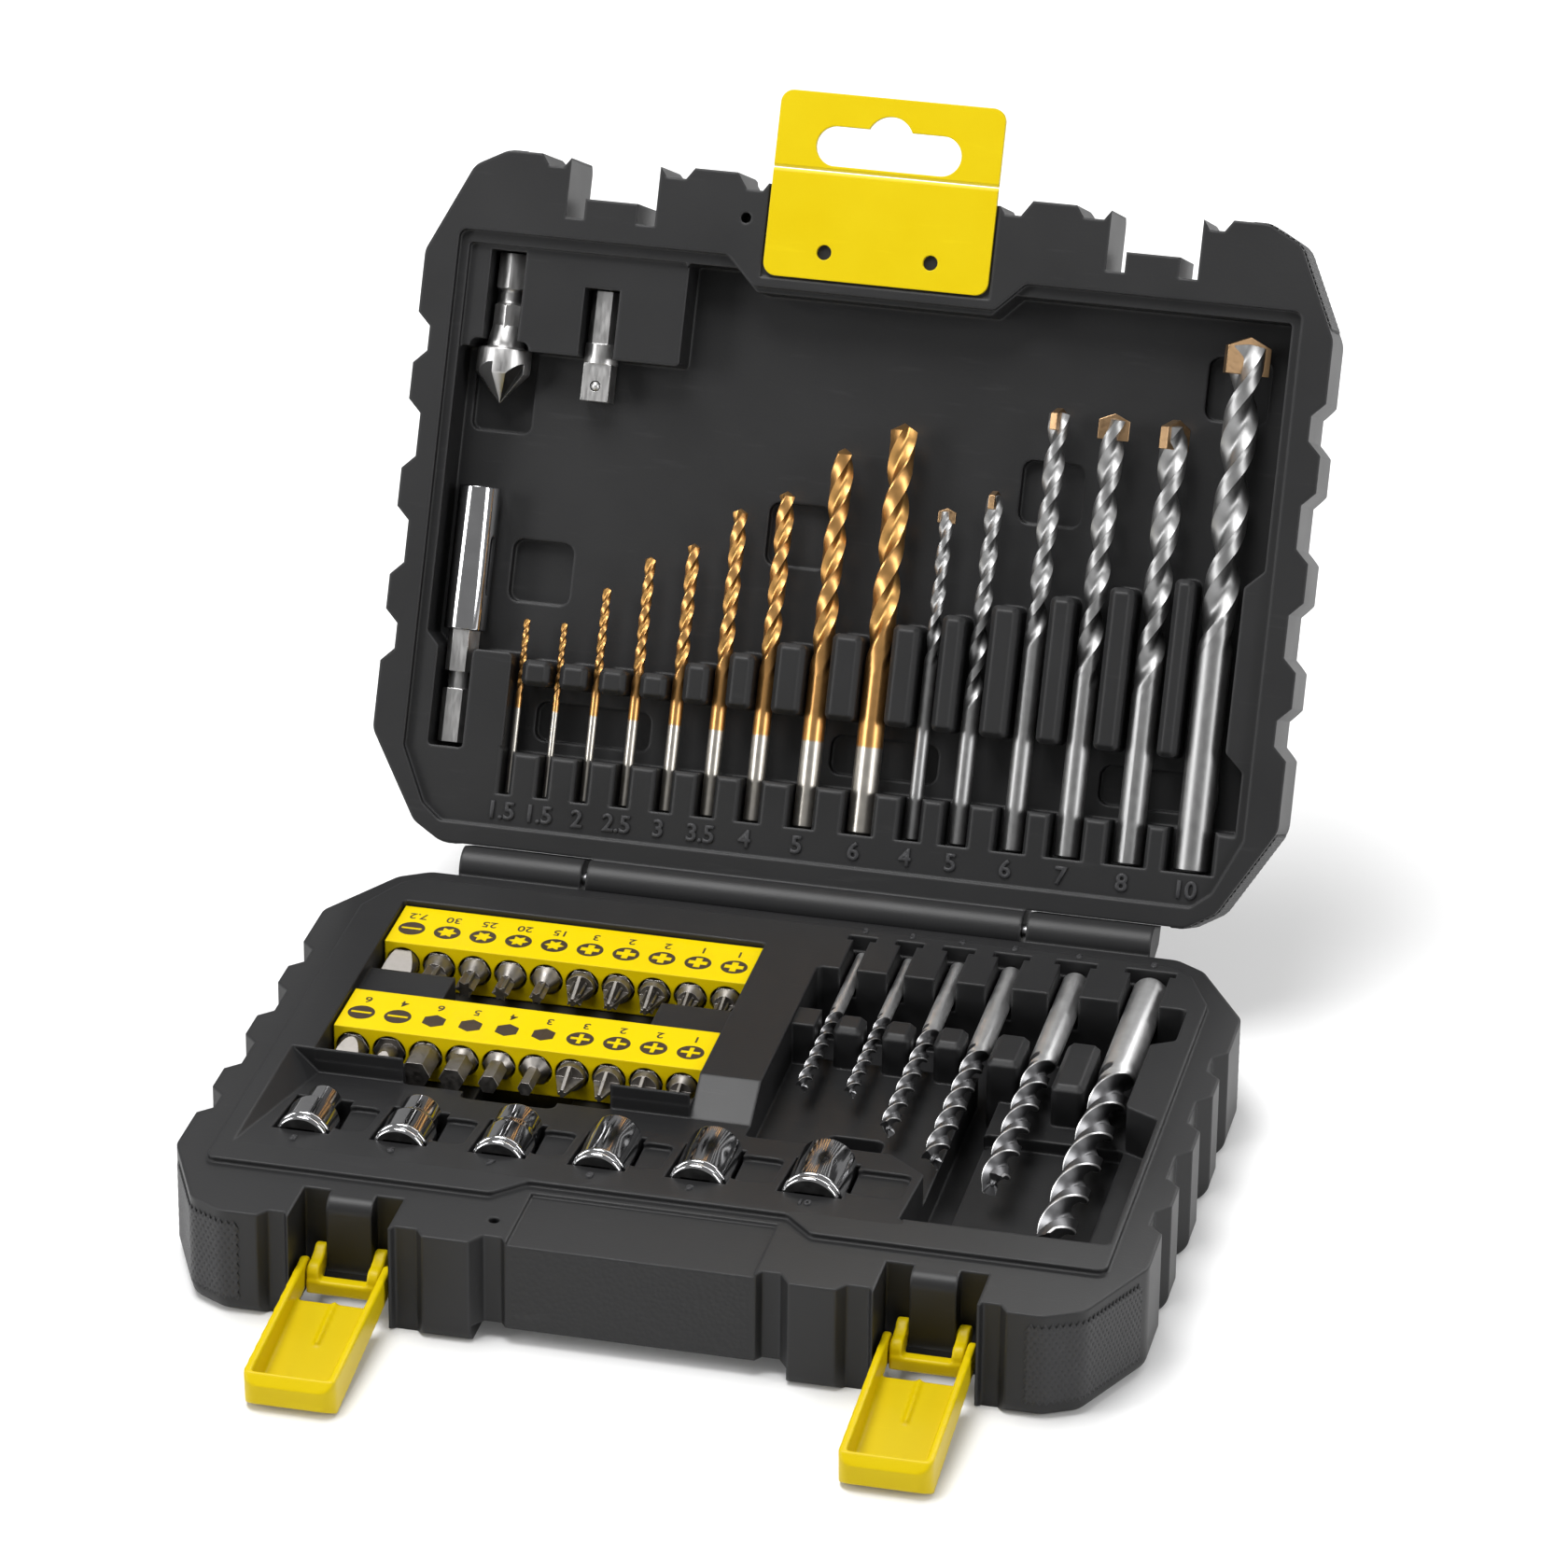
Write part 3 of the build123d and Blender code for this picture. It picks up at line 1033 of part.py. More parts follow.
# ---- Countersink, adaptor and bit holder ----
def grooved_hex(length):
    """A hexagon shank with a ball groove near its end."""
    shank = extrude(hex_face(BIT_HEX), length)
    ring = Cylinder(BIT_HEX, GROOVE_LENGTH) - Cylinder(GROOVE_RADIUS, GROOVE_LENGTH + 1)
    return shank - Pos(0, 0, GROOVE_FROM_END + GROOVE_LENGTH / 2) * ring


def countersink_bit():
    """Hexagon shank and a cutting cone with flutes."""
    radius = COUNTERSINK_RADIUS
    cone_length = COUNTERSINK_LENGTH - COUNTERSINK_SHANK - COUNTERSINK_RIM
    head = Pos(0, 0, COUNTERSINK_SHANK) * Cylinder(
        radius, COUNTERSINK_RIM, align=(Align.CENTER, Align.CENTER, Align.MIN))
    head += cone(radius, 0.2, cone_length, COUNTERSINK_SHANK + COUNTERSINK_RIM)
    for turn in range(5):
        gullet = Pos(radius, 0, COUNTERSINK_LENGTH - cone_length / 2) * Rot(Y=-35) * Box(4.0, 1.6, 3 * radius)
        head -= Rot(Z=72 * turn) * gullet
    flare_radius, flare_length = COUNTERSINK_FLARE
    flare = cone(BIT_HEX / 2, flare_radius, flare_length, COUNTERSINK_SHANK - flare_length)
    tool = grooved_hex(COUNTERSINK_SHANK) + flare + head
    return open_lid(lay_back(tool, COUNTERSINK_X, COUNTERSINK_END_Y, LID_RIM + ACCESSORY_DEPTH))


def socket_adaptor():
    """Hexagon shank to square drive, with the pocket of its ball."""
    square_z = ADAPTOR_LENGTH - ADAPTOR_SQUARE
    tool = extrude(hex_face(BIT_HEX), square_z)
    end = Box(SQUARE_DRIVE, SQUARE_DRIVE, ADAPTOR_SQUARE, align=(Align.CENTER, Align.CENTER, Align.MIN))
    collar_radius, collar_length = ADAPTOR_COLLAR
    collar = Cylinder(collar_radius, collar_length, align=(Align.CENTER, Align.CENTER, Align.MAX))
    tool += Pos(0, 0, square_z) * end + Pos(0, 0, square_z) * collar
    ball_z = ADAPTOR_LENGTH - BALL_FROM_END
    depth = 2 * BALL_RADIUS - BALL_PROUD + PIN_GAP
    seat = Pos(0, -SQUARE_DRIVE / 2, ball_z) * Rot(X=90) * Cylinder(BALL_RADIUS + PIN_GAP, 2 * depth)
    return tool - seat


def adaptor_ball():
    y = -SQUARE_DRIVE / 2 - BALL_PROUD + BALL_RADIUS
    return Pos(0, y, ADAPTOR_LENGTH - BALL_FROM_END) * Sphere(BALL_RADIUS)


def seated_adaptor(shape):
    turned = Rot(Z=180) * shape
    return open_lid(lay_back(turned, ADAPTOR_X, ADAPTOR_END_Y, LID_RIM + ACCESSORY_DEPTH))


def holder_sleeve():
    radius, length = HOLDER_SLEEVE
    sleeve = Cylinder(radius, length, align=(Align.CENTER, Align.CENTER, Align.MIN))
    sleeve = chamfer(sleeve.edges().group_by(Axis.Z)[-1], 0.5)
    mouth = extrude(hex_face(BIT_HEX + 0.15), HOLDER_SOCKET_DEPTH + 0.01)
    sleeve -= Pos(0, 0, length - HOLDER_SOCKET_DEPTH) * mouth
    magnet_seat = Cylinder(MAGNET[0], MAGNET[1] + 1, align=(Align.CENTER, Align.CENTER, Align.MIN))
    return sleeve - Pos(0, 0, length - HOLDER_SOCKET_DEPTH - MAGNET[1]) * magnet_seat


def holder_magnet():
    z = HOLDER_SLEEVE[1] - HOLDER_SOCKET_DEPTH - MAGNET[1]
    magnet = Cylinder(MAGNET[0] - PIN_GAP, MAGNET[1], align=(Align.CENTER, Align.CENTER, Align.MIN))
    return Pos(0, 0, z) * magnet


def holder_shank():
    return grooved_hex(HOLDER_SHANK)


def seated_holder(shape, from_end):
    """Holder pieces lie with the open mouth forward."""
    y = HOLDER_FRONT_Y + HOLDER_SLEEVE[1] + from_end
    return open_lid(lay_forward(shape, HOLDER_X, y, LID_RIM + HOLDER_DEPTH))


# ---- Output ----
def save(shapes, node):
    shapes = shapes if isinstance(shapes, list) else [shapes]
    solids = [solid for shape in shapes for solid in shape.solids()]
    export_step(solids[0] if len(solids) == 1 else Compound(children=solids), f"parts/{node}.step")


def main():
    save(base_shell(), "base_shell")
    save(lid_shell(), "lid_shell")
    save(hinge_pin(), "hinge_pin")
    for side, x in (("left", -LATCH_X), ("right", LATCH_X)):
        save(latch_link(x), f"latch_link_{side}")
        save(latch_lever(x), f"latch_lever_{side}")
    save(hang_tab(), "hang_tab")
    save(hang_flap(), "hang_flap")
    for name, rear, bits in zip(("rear", "front"), RACK_REAR_EDGES, (REAR_BITS, FRONT_BITS)):
        save(bit_rack(rear), f"bit_rack_{name}")
        for node, form, sizes, places in bits:
            save(seated_bits(form, sizes, places, rear), node)
    for index in range(len(SOCKET_X)):
        save(socket(index), f"socket_{socket_bore(index):.0f}")
    for node, diameter, length, spiral, x in WOOD_DRILLS:
        drill = wood_drill(diameter, length, spiral)
        save(lay_forward(drill, x, WOOD_SHANK_Y, RIM - WOOD_DROP), node)
    for row in TWIST_DRILLS:
        save(seated_lid_drills(row, twist_drill), row[0])
    for row in MASONRY_DRILLS:
        save(seated_lid_drills(row, masonry_drill), row[0])
    save(countersink_bit(), "countersink_bit")
    save(seated_adaptor(socket_adaptor()), "socket_adaptor")
    save(seated_adaptor(adaptor_ball()), "adaptor_ball")
    save(seated_holder(holder_sleeve(), 0), "bit_holder_sleeve")
    save(seated_holder(holder_magnet(), 0), "bit_holder_magnet")
    save(seated_holder(Rot(X=180) * holder_shank(), 0), "bit_holder_shank")


main()
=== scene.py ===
import json
import math

import bmesh
import bpy
from mathutils import Matrix, Vector


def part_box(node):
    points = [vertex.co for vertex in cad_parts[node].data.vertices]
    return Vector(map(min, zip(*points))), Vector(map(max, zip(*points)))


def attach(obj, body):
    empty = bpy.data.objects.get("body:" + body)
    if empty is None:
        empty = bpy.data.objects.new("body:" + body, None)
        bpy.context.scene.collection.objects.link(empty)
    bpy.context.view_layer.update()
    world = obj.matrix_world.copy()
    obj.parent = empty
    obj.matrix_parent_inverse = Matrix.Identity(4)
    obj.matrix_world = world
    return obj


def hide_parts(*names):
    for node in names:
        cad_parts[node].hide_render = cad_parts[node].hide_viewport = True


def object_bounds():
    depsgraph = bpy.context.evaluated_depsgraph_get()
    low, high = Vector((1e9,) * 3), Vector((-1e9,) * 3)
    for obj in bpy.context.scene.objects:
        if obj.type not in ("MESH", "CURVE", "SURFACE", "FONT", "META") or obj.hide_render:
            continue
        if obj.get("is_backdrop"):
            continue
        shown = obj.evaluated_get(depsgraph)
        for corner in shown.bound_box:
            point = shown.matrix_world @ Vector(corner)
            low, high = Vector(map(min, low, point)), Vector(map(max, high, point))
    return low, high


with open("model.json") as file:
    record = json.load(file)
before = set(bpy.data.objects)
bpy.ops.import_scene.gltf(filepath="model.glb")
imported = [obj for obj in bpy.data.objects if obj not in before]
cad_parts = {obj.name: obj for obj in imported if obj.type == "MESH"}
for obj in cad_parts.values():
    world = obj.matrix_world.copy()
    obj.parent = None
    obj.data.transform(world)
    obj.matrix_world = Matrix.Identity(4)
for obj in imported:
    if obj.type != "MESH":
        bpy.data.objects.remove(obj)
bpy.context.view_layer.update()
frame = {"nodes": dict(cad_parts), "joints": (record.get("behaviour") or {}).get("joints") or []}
cad_nodes = frame["nodes"]
MM = 0.001

# ------------------------------------ moulded halves
# Base and lid are blow-moulded in charcoal plastic: a soft sheen, a fine grain, faint scuffs, edges
# painted lighter as a painted highlight, and a leather-like grain on the handle block. The lid turns on
# the base.
CHARCOAL = (0.0105, 0.0105, 0.0110, 1)
# A lighter grey, for the scuffs and for the painted highlight along edges.
CHARCOAL_SCUFF_AND_HIGHLIGHT = (0.050, 0.050, 0.052, 1)
CHARCOAL_CLOUD = 1.28
SCUFF_LEVELS = (0.63, 0.74)
SCUFF_SHARE = 0.12
EDGE_HIGHLIGHT_SHARE = 0.45
EDGE_RADIUS = 0.9 * MM
PLASTIC_SHINE = 0.33
LEATHER_SCALE = 900.0
LEATHER_HEIGHT = 9.0
HANDLE_HALF = 25.2 * MM
HANDLE_FRONT_Y = -76.6 * MM
HANDLE_SPAN_Z = (4.2 * MM, 23.8 * MM)


def settle(thing, **settings):
    for key, value in settings.items():
        setattr(thing, key, value)


def feed(tree, node, inputs):
    """Give a shader node's inputs their values, or link them."""
    for key, value in inputs.items():
        if isinstance(value, bpy.types.NodeSocket):
            tree.links.new(value, node.inputs[key])
        else:
            node.inputs[key].default_value = value


def put(tree, kind, inputs=None, **settings):
    """Add a shader node, with its settings and with values or links for its inputs."""
    added = tree.nodes.new(f"ShaderNode{kind}")
    settle(added, **settings)
    feed(tree, added, inputs or {})
    return added


def times(tree, one, other):
    return put(tree, "Math", {0: one, 1: other}, operation="MULTIPLY").outputs[0]


def spread(tree, value, low, high, from_low=0.0, from_high=1.0):
    """A value's range stretched to other limits, and clamped there."""
    return put(tree, "MapRange", {"Value": value, "To Min": low, "To Max": high,
                                  "From Min": from_low, "From Max": from_high}).outputs[0]


def noise(tree, place, scale, detail):
    return put(tree, "TexNoise", {"Vector": place, "Scale": scale, "Detail": detail}).outputs[0]


def new_group(name, inputs, outputs):
    """An empty shader node group with named float, colour or vector sockets."""
    group = bpy.data.node_groups.new(name, "ShaderNodeTree")
    kinds = {"f": "NodeSocketFloat", "c": "NodeSocketColor", "v": "NodeSocketVector"}
    for label, kind, value in inputs:
        socket = group.interface.new_socket(label, in_out="INPUT", socket_type=kinds[kind])
        if value is not None:
            socket.default_value = value
    for label, kind in outputs:
        group.interface.new_socket(label, in_out="OUTPUT", socket_type=kinds[kind])
    start = group.nodes.new("NodeGroupInput")
    end = group.nodes.new("NodeGroupOutput")
    return group, start.outputs, end.inputs


def build_edge_lift():
    """Rounded normals along sharp edges, and a mask of those edges, used for painted highlights."""
    group, given, result = new_group(
        "edge_lift", [("Radius", "f", EDGE_RADIUS), ("Gain", "f", 4.0)], [("Edge", "f"), ("Normal", "v")])
    rounded = put(group, "Bevel", {"Radius": given["Radius"]}, samples=6)
    flat = put(group, "NewGeometry")
    same = put(group, "VectorMath", {0: rounded.outputs[0], 1: flat.outputs["Normal"]},
               operation="DOT_PRODUCT")
    apart = put(group, "Math", {0: 1.0, 1: same.outputs["Value"]}, operation="SUBTRACT")
    strong = put(group, "Math", {0: apart.outputs[0], 1: given["Gain"]}, operation="MULTIPLY",
                 use_clamp=True)
    group.links.new(strong.outputs[0], result["Edge"])
    group.links.new(rounded.outputs[0], result["Normal"])
    return group


def build_mould_skin():
    """Fine grain, slow cloudiness and thin scuffs of a moulded surface, from object coordinates."""
    group, given, result = new_group(
        "mould_skin", [("Grain", "f", 1800.0), ("Cloud", "f", 40.0)],
        [("Height", "f"), ("Cloudiness", "f"), ("Scuff", "f")])
    place = put(group, "TexCoord").outputs["Object"]
    stretched = put(group, "Mapping", {"Vector": place, "Scale": (60.0, 900.0, 300.0),
                                       "Rotation": (0.3, 0.5, 0.9)})
    scuff = noise(group, stretched.outputs[0], 1.0, 5.0)
    group.links.new(noise(group, place, given["Grain"], 3.0), result["Height"])
    group.links.new(noise(group, place, given["Cloud"], 4.0), result["Cloudiness"])
    group.links.new(spread(group, scuff, 0.0, 1.0, *SCUFF_LEVELS), result["Scuff"])
    return group


EDGE_LIFT = build_edge_lift()
MOULD_SKIN = build_mould_skin()


def grouped(tree, group, inputs=None):
    return put(tree, "Group", inputs, node_tree=group)


def new_surface(name):
    """A new material, its node tree and its Principled shader."""
    material = bpy.data.materials.new(name)
    material.use_nodes = True
    tree = material.node_tree
    return material, tree, tree.nodes["Principled BSDF"]


def mix_colour(tree, factor, low, high):
    mixed = put(tree, "Mix", {"Factor": factor, 6: low, 7: high}, data_type="RGBA")
    return mixed.outputs[2]


def bumped(tree, height, strength, distance, edge=None):
    """The normal that a height gives, over the rounded edges where there are any."""
    inputs = {"Height": height, "Strength": strength, "Distance": distance}
    if edge:
        inputs["Normal"] = edge.outputs["Normal"]
    return put(tree, "Bump", inputs).outputs[0]


def between(tree, value, low, high, soft):
    """1 where a value lies between two limits, with soft ends."""
    rise = spread(tree, value, 0.0, 1.0, low - soft, low + soft)
    fall = spread(tree, value, 0.0, 1.0, high + soft, high - soft)
    return times(tree, rise, fall)


def moulded_plastic(name, colour, scuff_and_highlight_colour, roughness, grain_bump, leather=False):
    """Moulded plastic with grain, cloudiness, scuffs, and edges painted lighter as a painted highlight.
    """
    material, tree, shader = new_surface(name)
    skin = grouped(tree, MOULD_SKIN)
    edge = grouped(tree, EDGE_LIFT)
    clouded = tuple(c * CHARCOAL_CLOUD for c in colour[:3]) + (1,)
    body = mix_colour(tree, skin.outputs["Cloudiness"], colour, clouded)
    body = mix_colour(tree, times(tree, skin.outputs["Scuff"], SCUFF_SHARE), body, scuff_and_highlight_colour)
    # Painted highlight: along sharp edges the colour is mixed towards the lighter grey.
    body = mix_colour(tree, times(tree, edge.outputs["Edge"], EDGE_HIGHLIGHT_SHARE), body, scuff_and_highlight_colour)
    rough = spread(tree, skin.outputs["Cloudiness"], roughness - 0.06, roughness + 0.08)
    height = skin.outputs["Height"]
    if leather:
        place = put(tree, "TexCoord").outputs["Object"]
        split = put(tree, "SeparateXYZ", {"Vector": place})
        side = put(tree, "Math", {0: split.outputs["X"]}, operation="ABSOLUTE")
        inside = between(tree, side.outputs[0], -1.0, HANDLE_HALF, 0.4 * MM)
        front = between(tree, split.outputs["Y"], -1.0, HANDLE_FRONT_Y, 0.2 * MM)
        tall = between(tree, split.outputs["Z"], *HANDLE_SPAN_Z, 0.4 * MM)
        mask = times(tree, times(tree, inside, front), tall)
        cells = put(tree, "TexVoronoi", {"Vector": place, "Scale": LEATHER_SCALE,
                                         "Randomness": 1.0})
        pebbles = times(tree, cells.outputs["Distance"], LEATHER_HEIGHT)
        height = put(tree, "Mix", {"Factor": mask, "A": height, "B": pebbles}).outputs[0]
    feed(tree, shader, {"Base Color": body, "Roughness": rough, "Specular IOR Level": PLASTIC_SHINE,
                        "Normal": bumped(tree, height, grain_bump, 0.05 * MM, edge)})
    return material


charcoal = moulded_plastic("charcoal_plastic", CHARCOAL, CHARCOAL_SCUFF_AND_HIGHLIGHT, 0.44, 0.35, leather=True)


def wear(form, *materials):
    """Give a form these materials, in place of any it has."""
    form.data.materials.clear()
    for material in materials:
        form.data.materials.append(material)


def finish_node(name, material):
    """Give a CAD node one material on all its faces."""
    wear(cad_nodes[name], material)
    for face in cad_nodes[name].data.polygons:
        face.material_index = 0


for shell in ("base_shell", "lid_shell"):
    finish_node(shell, charcoal)

# ------------------------------------ knurled corners
# The outer corners of both halves are moulded with a knurl for grip: rows of small lozenge pits
# in a skin that stands a fraction of a millimetre out of the wall.
KNURL_HALF_WIDTH = 0.92 * MM
KNURL_HALF_HEIGHT = 1.12 * MM
KNURL_RISE = 0.30 * MM
KNURL_SINK = 0.03 * MM
PIT_SHARE = 0.56
PIT_DEPTH = 0.27 * MM
KNURL_TURN = (2.0, 88.0)    # degrees round the corner
KNURL_LEVELS = {"base": (3.2 * MM, 22.6 * MM), "lid": (26.6 * MM, 43.6 * MM)}
CORNER_IN = {"front": (22 * MM, 23 * MM), "rear": (23 * MM, 24 * MM)}
CASE_HALF_DEPTH = 78.75 * MM
KNURL_BLACK = (0.016, 0.016, 0.017, 1)
CORNER_RADIUS = 30 * MM
RAY_REACH = 60 * MM
lid_joint = next(j for j in frame["joints"] if j["name"] == "lid_hinge")
hinge_at = Vector(lid_joint["pos_m"])
opening = Matrix.Rotation(math.radians(-lid_joint["range_deg"][1]), 4, "X")
shut_to_open = Matrix.Translation(hinge_at) @ opening @ Matrix.Translation(-hinge_at)
stays = Matrix.Identity(4)


def deselect():
    if bpy.context.object and bpy.context.object.mode != "OBJECT":
        bpy.ops.object.mode_set(mode="OBJECT")
    bpy.ops.object.select_all(action="DESELECT")


def knurl_patch(name, body, wall, placing, centre, turn_from, levels, material):
    """Lozenge pits in a raised skin that rays from outside lay on a wall."""
    low_turn, high_turn = KNURL_TURN
    across = int(math.radians(high_turn - low_turn) * CORNER_RADIUS / KNURL_HALF_WIDTH)
    up = int((levels[1] - levels[0]) / KNURL_HALF_HEIGHT)
    direction_turn = placing.to_3x3()

    def on_wall(column, row, rise):
        turn = math.radians(turn_from + low_turn + (high_turn - low_turn) * column / across)
        level = levels[0] + (levels[1] - levels[0]) * row / up
        outward = Vector((math.cos(turn), math.sin(turn), 0))
        start = placing @ (Vector((centre[0], centre[1], level)) + outward * RAY_REACH)
        spot, normal = wall.ray_cast(start, direction_turn @ -outward)[1:3]
        return spot + normal * rise

    deselect()
    bpy.ops.mesh.primitive_plane_add(size=1)
    patch = bpy.context.object
    patch.name = name
    bm = bmesh.new()
    corner_at = {}
    for column in range(across + 1):
        for row in range(up + 1):
            if (column + row) % 2:
                border = column in (0, across) or row in (0, up)
                rise = -KNURL_SINK if border else KNURL_RISE
                corner_at[column, row] = bm.verts.new(on_wall(column, row, rise))
    steps = ((1, 0), (0, 1), (-1, 0), (0, -1))
    for column in range(1, across):
        for row in range(1, up):
            if (column + row) % 2:
                continue
            outer = [corner_at[column + i, row + j] for i, j in steps]
            inner = [bm.verts.new(on_wall(column + i * PIT_SHARE, row + j * PIT_SHARE, KNURL_RISE))
                     for i, j in steps]
            pit = bm.verts.new(on_wall(column, row, KNURL_RISE - PIT_DEPTH))
            for a in range(4):
                b = (a + 1) % 4
                bm.faces.new((outer[a], outer[b], inner[b], inner[a]))
                bm.faces.new((inner[a], inner[b], pit))
    bmesh.ops.recalc_face_normals(bm, faces=bm.faces)
    bm.faces.ensure_lookup_table()
    middle = placing @ Vector((centre[0], centre[1], sum(levels) / 2))
    if bm.faces[0].normal.dot(bm.faces[0].calc_center_median() - middle) < 0:
        bmesh.ops.reverse_faces(bm, faces=bm.faces)
    bm.to_mesh(patch.data)
    bm.free()
    wear(patch, material)
    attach(patch, body)


knurled = moulded_plastic("knurled_plastic", KNURL_BLACK, CHARCOAL_SCUFF_AND_HIGHLIGHT, 0.42, 0.2)
half_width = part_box("base_shell")[1][0]
for side, word, turns in ((1, "right", {"front": -90.0, "rear": 0.0}),
                          (-1, "left", {"front": -180.0, "rear": 90.0})):
    for end, along in (("front", -1), ("rear", 1)):
        in_x, in_y = CORNER_IN[end]
        middle = (side * (half_width - in_x), along * (CASE_HALF_DEPTH - in_y))
        for half, placing in (("base", stays), ("lid", shut_to_open)):
            knurl_patch(f"knurl_{half}_{end}_{word}", half, cad_nodes[f"{half}_shell"], placing, middle,
                        turns[end], KNURL_LEVELS[half], knurled)

# ------------------------------------ moulded size numbers
# Each drill's and each socket's size stands beside it in raised figures of the same plastic, cast
# with the half, with rounded edges, and coloured a lighter grey than the half as a painted highlight.
FIGURE_HEIGHT = 3.9 * MM
BASE_FIGURE_HEIGHT = 1.9 * MM
SOCKET_FIGURE_HEIGHT = 2.2 * MM
TYPE_SIZE = 1.42            # type size over the height of its figures
FIGURE_RISE = 0.42 * MM
FIGURE_SINK = 0.2 * MM
FIGURE_ROUNDING = 0.07 * MM
FIGURE_BOLD = 0.07 * MM
SMALL_FIGURE_BOLD = 0.02 * MM
FIGURE_PAINTED_HIGHLIGHT_GREY = (0.026, 0.026, 0.028, 1)
LID_DECK_Z = 26.8 * MM
LID_FIGURE_Y = 70.5 * MM
LID_FIGURES = (
    ("1.5", -72.9), ("1.5", -64.1), ("2", -55.1), ("2.5", -45.8), ("3", -36.1), ("3.5", -26.3),
    ("4", -16.0), ("5", -4.0), ("6", 9.1),
    ("4", 21.0), ("5", 31.4), ("6", 43.9), ("7", 56.5), ("8", 70.4), ("10", 84.7),
)
BASE_DECK_Z = 25.7 * MM
BASE_FIGURE_Y = 72.8 * MM
BASE_FIGURES = (("3", 16.4), ("3", 27.1), ("4", 38.3), ("5", 50.3), ("6", 64.8), ("8", 81.6))
SOCKET_FIGURE_Y = -47.0 * MM
SOCKET_FIGURE_Z = 25.0 * MM
SOCKET_DECK_TILT = -7.8
SOCKET_FIGURES = (("5", -80.8), ("6", -59.4), ("7", -37.8), ("8", -16.2), ("9", 5.3), ("10", 29.8))


def raised_figure(text, height, rise, placing, rounding=FIGURE_ROUNDING, bold=FIGURE_BOLD):
    """A solid figure, its middle in the plane that placing gives."""
    deselect()
    bpy.ops.object.text_add()
    figure = bpy.context.object
    settle(figure.data, body=text, size=height * TYPE_SIZE, align_x="CENTER", align_y="CENTER",
           extrude=rise, bevel_depth=rounding, bevel_resolution=1, offset=bold, resolution_u=4)
    bpy.ops.object.convert(target="MESH")
    figure = bpy.context.object
    figure.data.transform(placing)
    return figure


def joined(objects, name):
    """Several meshes made one, under a name."""
    deselect()
    for item in objects:
        item.select_set(True)
    bpy.context.view_layer.objects.active = objects[0]
    if len(objects) > 1:
        bpy.ops.object.join()
    whole = bpy.context.object
    whole.name = name
    whole.data.name = name
    return whole


# Painted highlight: the figures are coloured a lighter grey than the half around them.
figure_painted_highlight = moulded_plastic("figure_painted_highlight", FIGURE_PAINTED_HIGHLIGHT_GREY, CHARCOAL_SCUFF_AND_HIGHLIGHT, 0.4, 0.2)
facing_down = Matrix.Rotation(math.pi, 4, "X")
lid_figures, base_figures = [], []
for text, x in LID_FIGURES:
    placing = shut_to_open @ Matrix.Translation((x * MM, LID_FIGURE_Y, LID_DECK_Z)) @ facing_down
    lid_figures.append(raised_figure(text, FIGURE_HEIGHT, FIGURE_RISE, placing))
for text, x in BASE_FIGURES:
    placing = Matrix.Translation((x * MM, BASE_FIGURE_Y, BASE_DECK_Z - FIGURE_SINK))
    base_figures.append(raised_figure(text, BASE_FIGURE_HEIGHT, FIGURE_RISE, placing,
                                      bold=SMALL_FIGURE_BOLD))
deck_tilt = Matrix.Rotation(math.radians(SOCKET_DECK_TILT), 4, "X")
for text, x in SOCKET_FIGURES:
    placing = Matrix.Translation((x * MM, SOCKET_FIGURE_Y, SOCKET_FIGURE_Z)) @ deck_tilt
    base_figures.append(raised_figure(text, SOCKET_FIGURE_HEIGHT, FIGURE_RISE, placing,
                                      bold=SMALL_FIGURE_BOLD))
for figures, half in ((lid_figures, "lid"), (base_figures, "base")):
    numbers = joined(figures, f"{half}_size_numbers")
    wear(numbers, figure_painted_highlight)
    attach(numbers, half)

# ------------------------------------ hinge rod
# A plain drawn steel rod with fine lengthwise marks. It is pushed through the base's two knuckles
# and the lid's long one, and the lid turns on it.
def brushed_metal(name, colour, dark, roughness, stretch, bump=0.15, edge_gain=2.0):
    """Metal with fine marks along one direction, slow tone changes, and edges painted brighter as a
    painted highlight.
    """
    material, tree, shader = new_surface(name)
    place = put(tree, "TexCoord").outputs["Object"]
    mapped = put(tree, "Mapping", {"Vector": place, "Scale": stretch})
    marks = noise(tree, mapped.outputs[0], 1.0, 4.0)
    edge = grouped(tree, EDGE_LIFT, {"Radius": 0.18 * MM, "Gain": edge_gain})
    body = mix_colour(tree, noise(tree, place, 130.0, 3.0), dark, colour)
    # Painted highlight: along sharp edges the colour is mixed towards a brighter tone.
    bright = tuple(min(1.0, c * 1.35) for c in colour[:3]) + (1,)
    body = mix_colour(tree, edge.outputs["Edge"], body, bright)
    rough = spread(tree, marks, roughness - 0.08, roughness + 0.1, 0.3, 0.7)
    feed(tree, shader, {"Base Color": body, "Roughness": rough, "Metallic": 1.0,
                        "Normal": bumped(tree, marks, bump, 0.02 * MM, edge)})
    return material


rod_steel = brushed_metal("rod_steel", (0.52, 0.52, 0.53, 1), (0.35, 0.35, 0.36, 1), 0.35,
                          (60, 3000, 3000))
finish_node("hinge_pin", rod_steel)

# ------------------------------------ yellow latches and tab
# Links, levers, tab and racks are injection-moulded in yellow plastic, a little paler along edges, a
# painted highlight. The tab's crease is stressed white, and the racks' yellow is painted paler, as
# painted light on them.
YELLOW = (0.55, 0.42, 0.0006, 1)
# A paler yellow, for the scuffs and for the painted highlight along edges.
YELLOW_SCUFF_AND_HIGHLIGHT = (0.62, 0.49, 0.004, 1)
YELLOW_STRESSED = (0.66, 0.55, 0.06, 1)
YELLOW_SHINE = 0.16
YELLOW_SCUFF_SHARE = 0.25
RACK_PAINTED_LIGHT = 1.28
CREASE_HALF = 0.9 * MM
CREASE_CORE = 0.3 * MM
LATCH_SOFTENING = {"lever": 9, "link": 4}    # rounds of smoothing
MELT_GRID = 0.36 * MM
KEPT_FACES = 0.4


